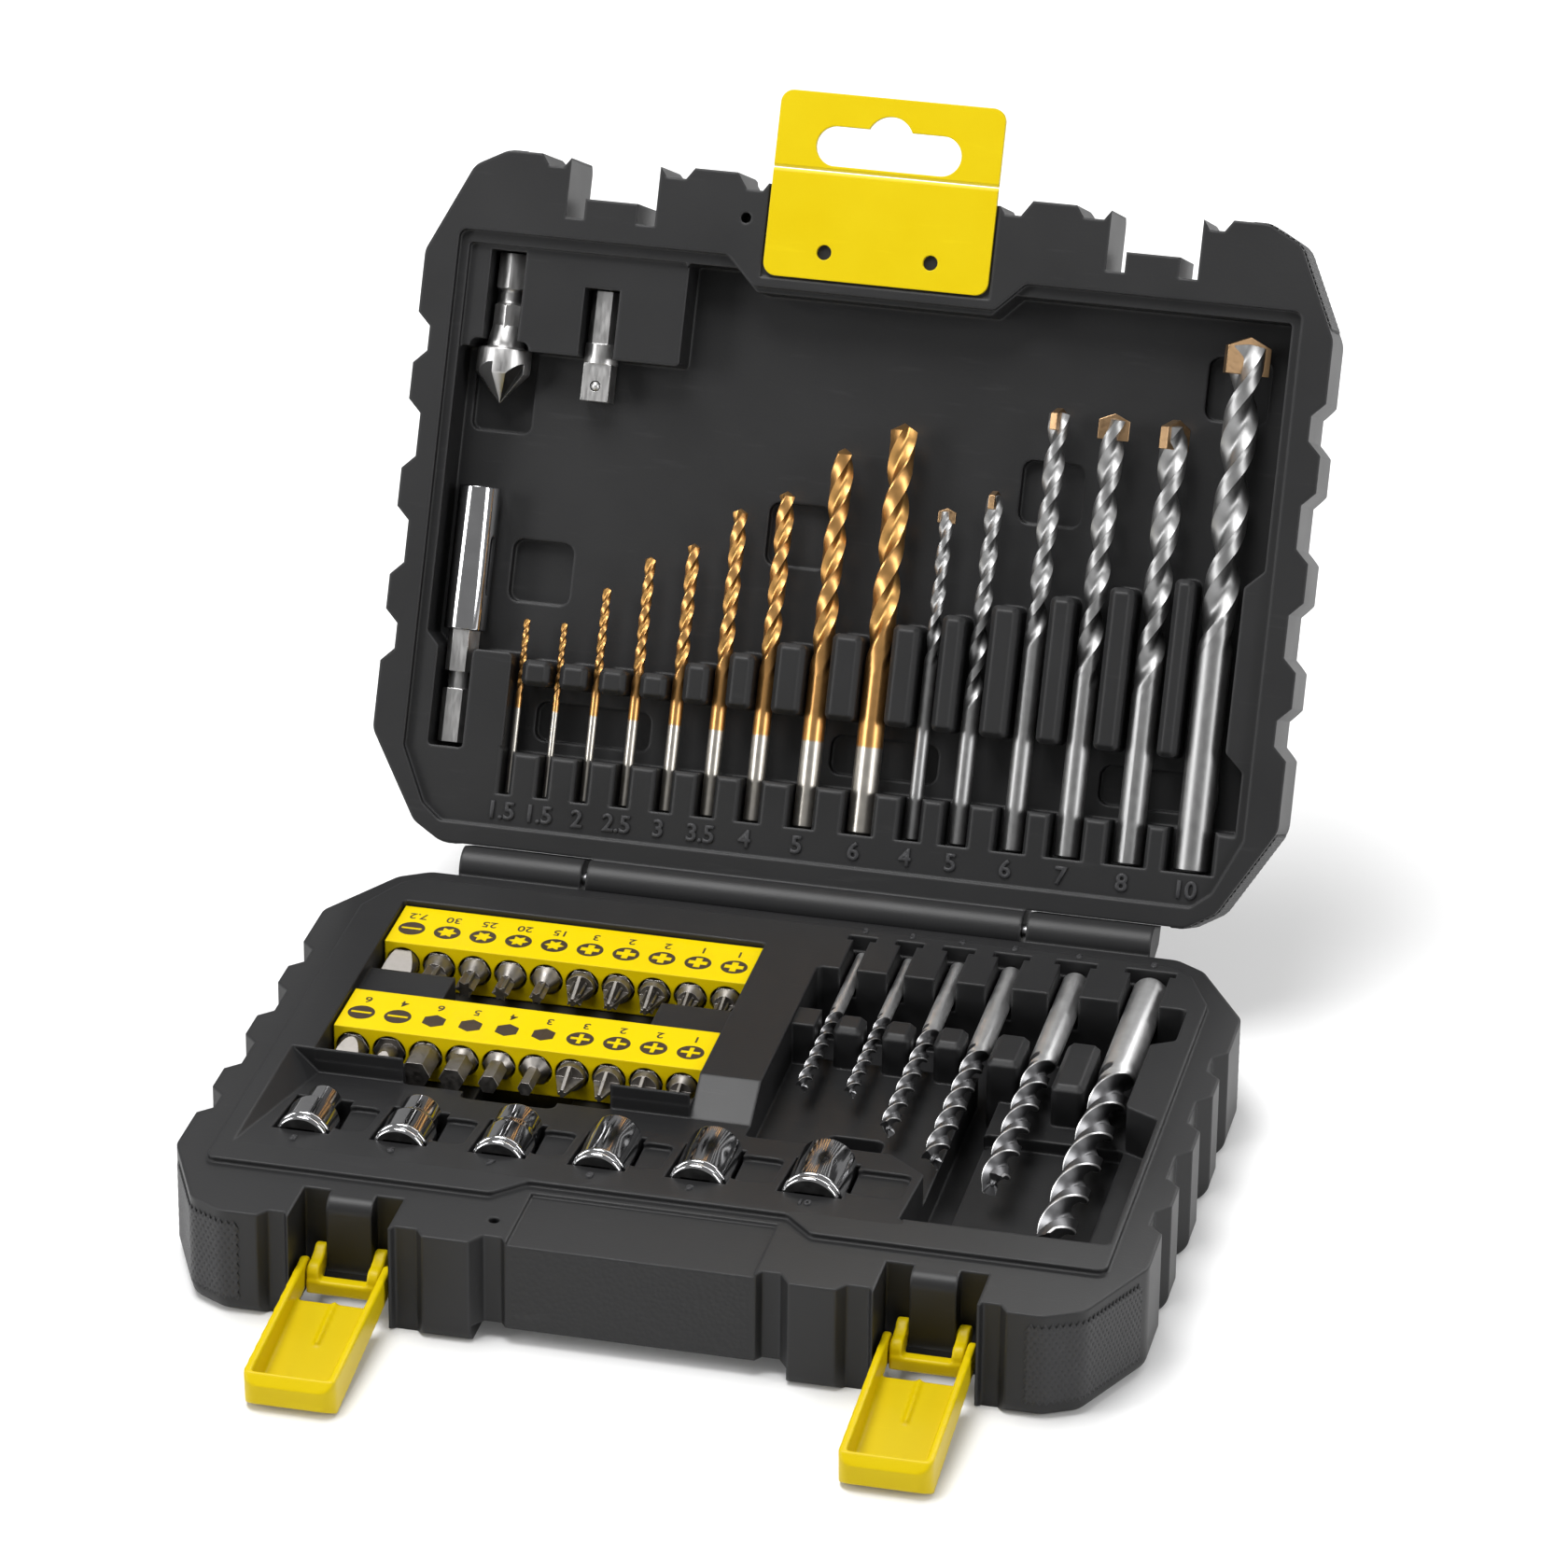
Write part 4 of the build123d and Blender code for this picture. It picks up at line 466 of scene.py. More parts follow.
def yellow_plastic(name, crease=False, painted_light=1.0):
    """Yellow plastic with clouds, scuffs, edges painted paler as a painted highlight, the tab's white
    crease where asked, and a yellow painted paler as painted light where asked.
    """
    material, tree, shader = new_surface(name)
    # Painted light: the yellow is made paler by this factor, standing in for light falling on it.
    fresh = (YELLOW[0] * painted_light, YELLOW[1] * painted_light, YELLOW[2], 1)
    skin = grouped(tree, MOULD_SKIN, {"Grain": 900.0, "Cloud": 60.0})
    edge = grouped(tree, EDGE_LIFT, {"Radius": 0.4 * MM, "Gain": 3.0})
    darker = (fresh[0] * 0.93, fresh[1] * 0.88, 0.0, 1)
    body = mix_colour(tree, skin.outputs["Cloudiness"], darker, fresh)
    body = mix_colour(tree, times(tree, skin.outputs["Scuff"], YELLOW_SCUFF_SHARE), body, YELLOW_SCUFF_AND_HIGHLIGHT)
    # Painted highlight: along sharp edges the yellow is mixed towards the paler one.
    body = mix_colour(tree, edge.outputs["Edge"], body, YELLOW_SCUFF_AND_HIGHLIGHT)
    if crease:
        joint = next(j for j in frame["joints"] if j["name"] == "tab_crease")
        place = put(tree, "TexCoord").outputs["Object"]
        away = put(tree, "VectorMath", {0: place, 1: tuple(joint["pos_m"])},
                   operation="SUBTRACT")
        flat = put(tree, "VectorMath", {0: away.outputs[0], 1: (0.0, 1.0, 1.0)},
                   operation="MULTIPLY")
        far = put(tree, "VectorMath", {0: flat.outputs[0]}, operation="LENGTH")
        near = spread(tree, far.outputs["Value"], 0.0, 1.0, CREASE_HALF, CREASE_CORE)
        body = mix_colour(tree, near, body, YELLOW_STRESSED)
    rough = spread(tree, skin.outputs["Cloudiness"], 0.3, 0.46)
    feed(tree, shader, {"Base Color": body, "Roughness": rough,
                        "Normal": bumped(tree, skin.outputs["Height"], 0.15, 0.04 * MM, edge),
                        "Specular IOR Level": YELLOW_SHINE, "Subsurface Weight": 0.05,
                        "Subsurface Radius": (0.002, 0.0015, 0.0003)})
    return material


yellow = yellow_plastic("yellow_plastic")
yellow_creased = yellow_plastic("yellow_creased", crease=True)
# The racks' yellow is painted paler, as painted light on them.
yellow_rack = yellow_plastic("yellow_rack_painted_light", painted_light=RACK_PAINTED_LIGHT)


def choose(form):
    """Make one object the selected and the active one."""
    deselect()
    form.select_set(True)
    bpy.context.view_layer.objects.active = form


def applied(form, kind, **settings):
    """Give a form a modifier with these settings, and apply it."""
    choose(form)
    modifier = form.modifiers.new(kind.lower(), kind)
    settle(modifier, **settings)
    bpy.ops.object.modifier_apply(modifier=modifier.name)


def merge_doubles(form):
    """Merge a form's doubled points, and turn its faces outward."""
    choose(form)
    bpy.ops.object.mode_set(mode="EDIT")
    bpy.ops.mesh.select_all(action="SELECT")
    bpy.ops.mesh.remove_doubles(threshold=1e-6)
    bpy.ops.mesh.normals_make_consistent(inside=False)
    bpy.ops.object.mode_set(mode="OBJECT")


def softened(node, rounds, body):
    """A copy of a CAD node, its edges melted round as a moulding's are, in the node's stead."""
    piece = cad_nodes[node].copy()
    piece.data = cad_nodes[node].data.copy()
    piece.name = f"{node}_rounded"
    bpy.context.scene.collection.objects.link(piece)
    merge_doubles(piece)
    applied(piece, "REMESH", mode="VOXEL", voxel_size=MELT_GRID)
    applied(piece, "SMOOTH", factor=0.5, iterations=rounds)
    applied(piece, "DECIMATE", ratio=KEPT_FACES)
    bpy.ops.object.shade_smooth()
    wear(piece, yellow)
    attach(piece, body)
    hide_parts(node)


for part, rounds in LATCH_SOFTENING.items():
    for side in ("left", "right"):
        finish_node(f"latch_{part}_{side}", yellow)
        softened(f"latch_{part}_{side}", rounds, f"{part}_{side}")
for node in ("bit_rack_rear", "bit_rack_front"):
    finish_node(node, yellow_rack)
for node in ("hang_tab", "hang_flap"):
    finish_node(node, yellow_creased)

# ------------------------------------ rack marks
# Each rack is printed in dark brown: the bit's size in figures along the rear edge, and in front
# of it the shape of its tip, pale on a round patch.
PRINT_BROWN = (0.030, 0.018, 0.008, 1)
RACK_TOP = 24.5 * MM
RACK_CENTRE_X = -45.7 * MM
RACK_PITCH = 8.22 * MM
RACK_REAR = {"rear": 61.5 * MM, "front": 21.2 * MM}
ICON_FROM_REAR = 10.2 * MM
FIGURE_FROM_REAR = 4.2 * MM
PRINT_FIGURE_HEIGHT = 2.5 * MM
PRINT_FIGURE_ROUNDING = 0.0
PRINT_FIGURE_BOLD = 0.03 * MM
ICON_RADIUS = 3.0 * MM
CROSS_ARM = 2.15 * MM
CROSS_HALF = {"cross": 0.5 * MM, "ribbed": 0.75 * MM}
SLOT_BAR = (2.3 * MM, 0.38 * MM)    # half its length and half its height
PRINT_THICK = 0.05 * MM
RACK_MARKS = {
    "rear": (("7.2", "slot"), ("30", "star"), ("25", "star"), ("20", "star"), ("15", "star"),
             ("3", "ribbed"), ("2", "ribbed"), ("2", "ribbed"), ("1", "ribbed"), ("1", "ribbed")),
    "front": (("6", "slot"), ("4", "slot"), ("6", "hex"), ("5", "hex"), ("4", "hex"), ("3", "hex"),
              ("3", "cross"), ("2", "cross"), ("2", "cross"), ("1", "cross")),
}


def flat_print(outline, thickness, placing):
    """A thin plate from an outline of (x, y) points."""
    deselect()
    bpy.ops.mesh.primitive_circle_add(vertices=len(outline), radius=1, fill_type="NGON")
    plate = bpy.context.object
    for point, (x, y) in zip(plate.data.vertices, outline):
        point.co = (x, y, 0)
    bpy.ops.object.mode_set(mode="EDIT")
    bpy.ops.mesh.select_all(action="SELECT")
    bpy.ops.mesh.extrude_region_move(TRANSFORM_OT_translate={"value": (0, 0, thickness)})
    bpy.ops.mesh.select_all(action="SELECT")
    bpy.ops.mesh.normals_make_consistent(inside=False)
    bpy.ops.object.mode_set(mode="OBJECT")
    plate.data.transform(placing)
    return plate


def ring_points(count, radius_at):
    """Points round a centre, their radius a function of the turn."""
    turns = [2 * math.pi * i / count for i in range(count)]
    return [(radius_at(t) * math.cos(t), radius_at(t) * math.sin(t)) for t in turns]


def star_radius(turn):
    """A six-pointed star with hollow sides."""
    within = abs((turn + math.pi / 6) % (math.pi / 3) - math.pi / 6) / (math.pi / 6)
    return ICON_RADIUS * (0.76 - 0.34 * within ** 0.75)


def hex_radius(turn):
    within = (turn + math.pi / 6) % (math.pi / 3) - math.pi / 6
    return ICON_RADIUS * 0.80 / math.cos(within)


def cross_outline(arm, half):
    """The twelve corners of a plus sign."""
    quarter = [(arm, -half), (arm, half), (half, half)]
    corners = []
    for _ in range(4):
        corners += quarter
        quarter = [(-y, x) for x, y in quarter]
    return corners


def rack_icon(shape, placing):
    """(dark plates, yellow plates) of one icon."""
    above = placing @ Matrix.Translation((0, 0, PRINT_THICK))
    if shape == "hex":
        return [flat_print(ring_points(48, hex_radius), PRINT_THICK, placing)], []
    disc = flat_print(ring_points(40, lambda turn: ICON_RADIUS), PRINT_THICK, placing)
    if shape == "slot":
        x, y = SLOT_BAR
        outline = [(-x, -y), (x, -y), (x, y), (-x, y)]
    elif shape == "star":
        outline = ring_points(72, star_radius)
    else:
        outline = cross_outline(CROSS_ARM, CROSS_HALF[shape])
    return [disc], [flat_print(outline, PRINT_THICK, above)]


def printed(name, colour, roughness):
    """Ink or film with a faintly uneven tone and small worn spots."""
    material, tree, shader = new_surface(name)
    skin = grouped(tree, MOULD_SKIN, {"Grain": 2500.0, "Cloud": 300.0})
    worn = tuple(min(1.0, c * 1.6 + 0.004) for c in colour[:3]) + (1,)
    body = mix_colour(tree, skin.outputs["Cloudiness"], colour, worn)
    rough = spread(tree, skin.outputs["Height"], roughness - 0.05, roughness + 0.1)
    feed(tree, shader, {"Base Color": body, "Roughness": rough})
    return material


brown_ink = printed("brown_ink", PRINT_BROWN, 0.4)
facing_rear = Matrix.Rotation(math.pi, 4, "Z")
for row, marks in RACK_MARKS.items():
    dark, pale = [], []
    for index, (size, shape) in enumerate(marks):
        x = RACK_CENTRE_X + (index - 4.5) * RACK_PITCH
        icon_at = Matrix.Translation((x, RACK_REAR[row] - ICON_FROM_REAR, RACK_TOP)) @ facing_rear
        size_at = Matrix.Translation((x, RACK_REAR[row] - FIGURE_FROM_REAR, RACK_TOP)) @ facing_rear
        icon_dark, icon_pale = rack_icon(shape, icon_at)
        dark += icon_dark + [raised_figure(size, PRINT_FIGURE_HEIGHT, PRINT_THICK, size_at,
                                           PRINT_FIGURE_ROUNDING, PRINT_FIGURE_BOLD)]
        pale += icon_pale
    for plates, name, material in ((dark, "rack_print", brown_ink),
                                   (pale, "rack_tip_shapes", yellow_rack)):
        whole = joined(plates, f"{name}_{row}")
        wear(whole, material)
        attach(whole, "base")

# ------------------------------------ screwdriver bits
# Twenty hexagon bits of satin grey tool steel, their edges painted bright as a painted highlight. They
# are pressed upright into the racks' holes.
bit_steel = brushed_metal("bit_steel", (0.30, 0.28, 0.26, 1), (0.19, 0.18, 0.17, 1), 0.42,
                          (900, 900, 900), edge_gain=3.0)
for name in cad_nodes:
    if "_bit" in name and "rack" not in name and "countersink" not in name:
        finish_node(name, bit_steel)

# ------------------------------------ sockets
# Chromed sockets, turned and polished: two bright rings at the drive end, a shoulder on the
# smaller ones, a square hole in front and a hexagon hole behind.
SOCKET_FRONT_Y = -42.0 * MM
SOCKET_LENGTH = 19.0 * MM
SOCKET_AXIS_Z = 21.4 * MM
SOCKET_SEGMENTS = 72
SOCKETS = (                 # node, x, drive radius, nose radius, bore across flats, in mm
    ("socket_5", -80.8, 6.0, 3.9, 5.0), ("socket_6", -59.4, 6.0, 4.6, 6.0),
    ("socket_7", -37.8, 6.0, 5.3, 7.0), ("socket_8", -16.2, 6.0, 6.0, 8.0),
    ("socket_9", 5.3, 6.3, 6.3, 9.0), ("socket_10", 29.8, 6.7, 6.7, 10.0),
)
HEX_FLATS = 6.35 * MM
SOCKET_HOLE_DEPTH = 8 * MM


def lathe(name, profile, segments):
    """A closed turned form from (radius, height) points, along +Z."""
    deselect()
    bpy.ops.mesh.primitive_plane_add(size=1)
    form = bpy.context.object
    form.name = name
    bm = bmesh.new()
    points = [bm.verts.new((radius, 0, height)) for radius, height in profile]
    for a, b in zip(points, points[1:]):
        bm.edges.new((a, b))
    bm.to_mesh(form.data)
    bm.free()
    applied(form, "SCREW", axis="Z", steps=segments, render_steps=segments, use_merge_vertices=True,
            merge_threshold=1e-6)
    merge_doubles(form)
    return form


def rounded_profile(corners, radius, steps=3):
    """A profile with each inner corner replaced by a short arc."""
    points = [corners[0]]
    for before, corner, after in zip(corners, corners[1:], corners[2:]):
        here = Vector(corner)
        back = Vector(before) - here
        on = Vector(after) - here
        reach = min(radius, back.length * 0.45, on.length * 0.45)
        start = here + back.normalized() * reach
        end = here + on.normalized() * reach
        for i in range(steps + 1):
            t = i / steps
            curve = start * (1 - t) ** 2 + here * 2 * t * (1 - t) + end * t ** 2
            points.append((curve.x, curve.y))
    points.append(corners[-1])
    return points


def cut(form, cutter):
    """Subtract a cutter from a form, and delete the cutter."""
    applied(form, "BOOLEAN", operation="DIFFERENCE", solver="EXACT", object=cutter)
    bpy.data.objects.remove(cutter)


def smooth_by_angle(form, degrees=32):
    choose(form)
    bpy.ops.object.shade_smooth_by_angle(angle=math.radians(degrees))


def bar(sides, radius, length, middle=0.0):
    """A bar with flat sides or a round one, along Z, its middle at a height."""
    bpy.ops.mesh.primitive_cylinder_add(vertices=sides, radius=radius, depth=length)
    made = bpy.context.object
    made.data.transform(Matrix.Translation((0, 0, middle)))
    return made


def socket_form(name, drive, nose, bore):
    """A socket along +Z: two rings at the drive end, a body, and its nose."""
    length = SOCKET_LENGTH
    body = drive - 0.35 * MM
    corners = [(0, 0), (drive - 0.45 * MM, 0), (drive, 0.45 * MM), (drive, 1.3 * MM),
               (drive - 0.6 * MM, 1.6 * MM), (drive - 0.6 * MM, 2.0 * MM), (drive, 2.3 * MM),
               (drive, 3.0 * MM), (body, 3.4 * MM), (body, 10.5 * MM)]
    if nose < drive:
        corners += [(nose, 12.5 * MM), (nose, length - 0.6 * MM), (nose - 0.6 * MM, length), (0, length)]
    else:
        corners += [(nose - 0.35 * MM, length - 0.7 * MM), (nose - 1.0 * MM, length), (0, length)]
    form = lathe(name, rounded_profile(corners, 0.35 * MM), SOCKET_SEGMENTS)
    bpy.ops.mesh.primitive_cube_add(size=1)
    square = bpy.context.object
    square.data.transform(Matrix.Diagonal((HEX_FLATS, HEX_FLATS, 2 * SOCKET_HOLE_DEPTH, 1)))
    cut(form, square)
    cut(form, bar(6, bore / 2 / math.cos(math.pi / 6), 2 * SOCKET_HOLE_DEPTH, length))
    return form


def chrome_plate(name):
    """Bright plate with a faint haze and a slight waviness."""
    material, tree, shader = new_surface(name)
    haze = noise(tree, put(tree, "TexCoord").outputs["Object"], 220.0, 4.0)
    edge = grouped(tree, EDGE_LIFT, {"Radius": 0.12 * MM, "Gain": 2.0})
    tone = mix_colour(tree, haze, (0.46, 0.46, 0.47, 1), (0.60, 0.60, 0.61, 1))
    feed(tree, shader, {"Base Color": tone, "Roughness": spread(tree, haze, 0.04, 0.12),
                        "Metallic": 1.0, "Normal": bumped(tree, haze, 0.02, 0.05 * MM, edge)})
    return material


chrome = chrome_plate("chrome_plate")
DARK_STEEL_TONES = ((0.10, 0.10, 0.10, 1), (0.06, 0.06, 0.06, 1))
lying_back = Matrix.Rotation(math.radians(-90), 4, "X")
dark_face_steel = brushed_metal("dark_drive_face", *DARK_STEEL_TONES, 0.40, (600, 600, 600))
for node, x, drive, nose, bore in SOCKETS:
    form = socket_form(f"{node}_turned", drive * MM, nose * MM, bore * MM)
    wear(form, chrome, dark_face_steel)
    # The drive end's front face gets the dark steel.
    for face in form.data.polygons:
        face.material_index = int(face.normal.z < -0.95 and face.center.z < 0.2 * MM)
    form.data.transform(Matrix.Translation((x * MM, SOCKET_FRONT_Y, SOCKET_AXIS_Z)) @ lying_back)
    smooth_by_angle(form)
    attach(form, "base")
    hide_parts(node)
    finish_node(node, chrome)

# ------------------------------------ spiral drills
# All drills are ground from round bar: a plain shank, two helical flutes that run out into it,
# and a point. The wood drills have a spike and spurs, the masonry drills a carbide plate.
STEPS_PER_TURN = 30
FLUTE_POINTS = 9
RUN_OUT_CURVE = 1.6
SPUR_FROM = 0.9             # share of the radius beyond which the cutting spurs stand
SPUR_HEIGHT = 0.45          # over the point's height, as is the spike's foot
SPIKE_RADIUS = 0.26         # over the drill's radius
SPIKE_FOOT = 0.1
SHANK_CHAMFER = 0.12        # over the drill's radius
COAT_FADE = 0.5 * MM
COAT_WAVER = 0.0006


def drill_section(margin, land, cleared, web, fullness):
    """(turn, share of the radius) round a two-fluted section: margin, cleared land, round flute."""
    half = [(0.0, 1.0), (margin, 1.0), (margin + 0.05, cleared), ((margin + land) / 2, cleared),
            (land, cleared)]
    for i in range(1, FLUTE_POINTS):
        way = i / FLUTE_POINTS
        rim = cleared + (1 - cleared) * way
        dip = (rim - web) * math.sin(math.pi * way) ** fullness
        half.append((land + (math.pi - land) * way, rim - dip))
    return half + [(turn + math.pi, share) for turn, share in half]


def grown(bm, edges):
    """Extrude edges in place: the new edges and the new points."""
    made = bmesh.ops.extrude_edge_only(bm, edges=edges)["geom"]
    return ([g for g in made if isinstance(g, bmesh.types.BMEdge)],
            [g for g in made if isinstance(g, bmesh.types.BMVert)])


def spiral_drill(name, diameter, length, spiral, pitch, section, run_out, point, spurs=False):
    """A drill along +Z from its shank end. Its flutes grow shallow and narrow where they end."""
    radius = diameter / 2
    plain = length - spiral
    fluted = spiral - point
    turns = fluted / pitch
    steps = max(12, int(turns * STEPS_PER_TURN))
    count = len(section)
    deepest = min(share for _, share in section)
    deselect()
    bpy.ops.mesh.primitive_circle_add(vertices=count, radius=radius)
    form = bpy.context.object
    form.name = name
    mesh = form.data
    for vertex, (turn, _) in zip(mesh.vertices, section):
        vertex.co = (radius * math.cos(turn), radius * math.sin(turn), plain)
    applied(form, "SCREW", axis="Z", angle=turns * 2 * math.pi, screw_offset=fluted, steps=steps,
            render_steps=steps)
    for vertex in mesh.vertices:
        ring, place = divmod(vertex.index, count)
        below = max(0.0, 1 - ring / steps * fluted / run_out)
        share = min(1.0, section[place][1] + (1 - deepest) * below ** RUN_OUT_CURVE)
        vertex.co.x *= share
        vertex.co.y *= share
    top = plain + fluted
    bm = bmesh.new()
    bm.from_mesh(mesh)
    bm.verts.ensure_lookup_table()
    first = set(bm.verts[:count])
    last = set(bm.verts[-count:])
    tip = bm.verts.new((0, 0, length))
    for vertex in last:
        out = math.hypot(vertex.co.x, vertex.co.y) / radius
        if not spurs:
            vertex.co.z = top + point * (1 - out)
        elif out > SPUR_FROM:
            vertex.co.z = top + point * SPUR_HEIGHT
    edges = [e for e in bm.edges if e.verts[0] in last and e.verts[1] in last]
    if spurs:
        edges, inner = grown(bm, edges)
        for vertex in inner:
            out = Vector((vertex.co.x, vertex.co.y))
            vertex.co.x, vertex.co.y = out * (SPIKE_RADIUS * radius / out.length)
            vertex.co.z = top + point * SPIKE_FOOT
    for edge in edges:
        bm.faces.new((edge.verts[0], edge.verts[1], tip))
    chamfer = radius * SHANK_CHAMFER
    edges = [e for e in bm.edges if e.verts[0] in first and e.verts[1] in first]
    for height, share in ((chamfer, 1.0), (0.0, 1 - chamfer / radius)):
        edges, lower = grown(bm, edges)
        for vertex in lower:
            vertex.co.z = height
            vertex.co.x *= share
            vertex.co.y *= share
    bmesh.ops.contextual_create(bm, geom=edges)
    bmesh.ops.recalc_face_normals(bm, faces=bm.faces)
    bm.to_mesh(mesh)
    bm.free()
    along = mesh.attributes.new("along", "FLOAT", "POINT")
    crest = mesh.attributes.new("crest", "FLOAT", "POINT")
    for vertex in mesh.vertices:
        along.data[vertex.index].value = vertex.co.z
        crest.data[vertex.index].value = math.hypot(vertex.co.x, vertex.co.y) / radius
    return form


def drill_metal(name, shank, shank_end, body, flute, roughness, full_crest=(0.90, 0.97)):
    """Ground steel: one finish on the shank's end, another beyond it, and darker flutes."""
    material, tree, shader = new_surface(name)
    along = put(tree, "Attribute", attribute_name="along").outputs["Fac"]
    crest = put(tree, "Attribute", attribute_name="crest").outputs["Fac"]
    tone = noise(tree, put(tree, "TexCoord").outputs["Object"], 500.0, 4.0)
    waver = times(tree, tone, COAT_WAVER)
    level = put(tree, "Math", {0: along, 1: waver}, operation="ADD").outputs[0]
    coated = spread(tree, level, 0.0, 1.0, shank_end, shank_end + COAT_FADE)
    fluted = spread(tree, crest, 0.0, 1.0, full_crest[1], full_crest[0])
    outer = mix_colour(tree, fluted, body, flute)
    colour = put(tree, "Mix", {"Factor": 1.0, 6: mix_colour(tree, coated, shank, outer),
                               7: spread(tree, tone, 0.84, 1.1)},
                 data_type="RGBA", blend_type="MULTIPLY").outputs[2]
    rough = spread(tree, tone, roughness - 0.06, roughness + 0.08)
    feed(tree, shader, {"Base Color": colour, "Roughness": rough, "Metallic": 1.0,
                        "Normal": bumped(tree, tone, 0.1, 0.02 * MM)})
    return material


def place_drill(form, node, placing, body, material):
    """Lay a finished drill in its place, in the stead of its CAD node."""
    form.data.transform(placing)
    smooth_by_angle(form, 38)
    wear(form, material)
    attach(form, body)
    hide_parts(node)
    finish_node(node, material)


# ------------------------------------ wood drills
# Six brad-point drills of bright steel, their flutes left dark from hardening and their lands
# ground bright. They lie in the base's bay.
WOOD_SHANK_Y = 69.7 * MM
WOOD_AXIS_Z = 20.5 * MM
WOOD_DRILLS = (             # node, diameter, length, spiral length, x, in mm
    ("wood_drill_3_left", 3.0, 61.0, 35.0, 16.4), ("wood_drill_3_right", 3.0, 61.0, 35.0, 27.1),
    ("wood_drill_4", 4.0, 75.0, 46.0, 38.3), ("wood_drill_5", 5.0, 86.0, 50.0, 50.3),
    ("wood_drill_6", 6.0, 93.0, 56.0, 64.8), ("wood_drill_8", 8.0, 117.0, 78.0, 81.6),
)
WOOD_GRIND = (3.4, 0.9, 0.42)   # pitch, run-out and point, over the diameter
WOOD_SECTION = drill_section(0.17, 1.08, 0.92, 0.30, 0.6)
wood_steel = drill_metal("wood_drill_steel", (0.78, 0.78, 0.78, 1), 0.0, (0.72, 0.72, 0.72, 1),
                         (0.15, 0.15, 0.155, 1), 0.42, (0.935, 0.985))
lying_forward = Matrix.Rotation(math.radians(90), 4, "X")
for node, diameter, length, spiral, x in WOOD_DRILLS:
    pitch, run_out, point = (share * diameter * MM for share in WOOD_GRIND)
    form = spiral_drill(f"{node}_ground", diameter * MM, length * MM, spiral * MM, pitch, WOOD_SECTION,
                        run_out, point, spurs=True)
    placing = Matrix.Translation((x * MM, WOOD_SHANK_Y, WOOD_AXIS_Z)) @ lying_forward
    place_drill(form, node, placing, "base", wood_steel)

# ------------------------------------ twist drills
# Nine metal drills with a gold-coloured coating, a slow spiral and a blunt cone point. The last
# stretch of the shank is bare steel. They lie in the lid's slots.
LID_SHANK_Y = 66.3 * MM
LID_AXIS_Z = 32.3 * MM
COATING_FROM = 19.6 * MM
GOLD_GRIND = (6.0, 2.4, 0.3)    # pitch, run-out and point, over the diameter
TWIST_DRILLS = (            # node, diameter, length, spiral length, places, in mm
    ("twist_drill_1_5", 1.5, 40.0, 18.0, (-72.9, -64.1)), ("twist_drill_2", 2.0, 49.0, 24.0, (-55.1,)),
    ("twist_drill_2_5", 2.5, 57.0, 30.0, (-45.8,)), ("twist_drill_3", 3.0, 61.0, 33.0, (-36.1,)),
    ("twist_drill_3_5", 3.5, 70.0, 39.0, (-26.3,)), ("twist_drill_4", 4.0, 75.0, 43.0, (-16.0,)),
    ("twist_drill_5", 5.0, 86.0, 52.0, (-4.0,)), ("twist_drill_6", 6.0, 93.0, 57.0, (9.1,)),
)
GOLD_SECTION = drill_section(0.14, 1.38, 0.965, 0.46, 0.8)
gold_steel = drill_metal("gold_drill_steel", (0.56, 0.53, 0.48, 1), COATING_FROM, (0.64, 0.345, 0.12, 1),
                         (0.62, 0.34, 0.11, 1), 0.36)


def lid_place(x):
    """Where a drill's shank end lies in the open lid, the drill pointing at the lid's front."""
    return shut_to_open @ Matrix.Translation((x * MM, LID_SHANK_Y, LID_AXIS_Z)) @ lying_forward


for node, diameter, length, spiral, places in TWIST_DRILLS:
    pitch, run_out, point = (share * diameter * MM for share in GOLD_GRIND)
    for number, x in enumerate(places):
        form = spiral_drill(f"{node}_ground_{number}", diameter * MM, length * MM, spiral * MM, pitch,
                            GOLD_SECTION, run_out, point)
        place_drill(form, node, lid_place(x), "lid", gold_steel)

# ------------------------------------ masonry drills
# Six rope-like grey drills in the lid's slots. Each tip is slotted for a brazed carbide plate,
# wider than the drill and brown from the braze.
MASONRY_DRILLS = (          # node, diameter, length, spiral length, x, in mm, and turn in degrees
    ("masonry_drill_4", 4.0, 75.0, 36.0, 21.0, 0), ("masonry_drill_5", 5.0, 80.0, 50.0, 31.4, 82),
    ("masonry_drill_6", 6.0, 100.0, 55.0, 43.9, 75), ("masonry_drill_7", 7.0, 100.0, 62.0, 56.5, 8),
    ("masonry_drill_8", 8.0, 100.0, 62.0, 70.4, 60), ("masonry_drill_10", 10.0, 120.0, 72.0, 84.7, 22),
)
MASONRY_SECTION = drill_section(0.3, 1.0, 1.0, 0.46, 0.9)
MASONRY_BODY_SHARE = 0.78   # ground body over the plate's width
MASONRY_PITCH = (3.3, 3.6)  # over the diameter, and mm more
MASONRY_RUN_OUT = 1.5
CREST_HEIGHT = 0.45         # over the plate's half width
BODY_BELOW_TIP = 0.6        # over the crest's height, as is the body's cone
BODY_CONE = 0.4
PLATE_LENGTH = 0.85         # over the diameter, as is its half thickness
PLATE_HALF = 0.14
PLATE_BEVEL = 0.12 * MM
masonry_steel = drill_metal("masonry_drill_steel", (0.30, 0.30, 0.30, 1), 0.0, (0.31, 0.31, 0.31, 1),
                            (0.36, 0.36, 0.36, 1), 0.42)
carbide = brushed_metal("brazed_carbide", (0.52, 0.33, 0.17, 1), (0.26, 0.17, 0.10, 1), 0.36,
                        (1500, 1500, 1500), bump=0.4)
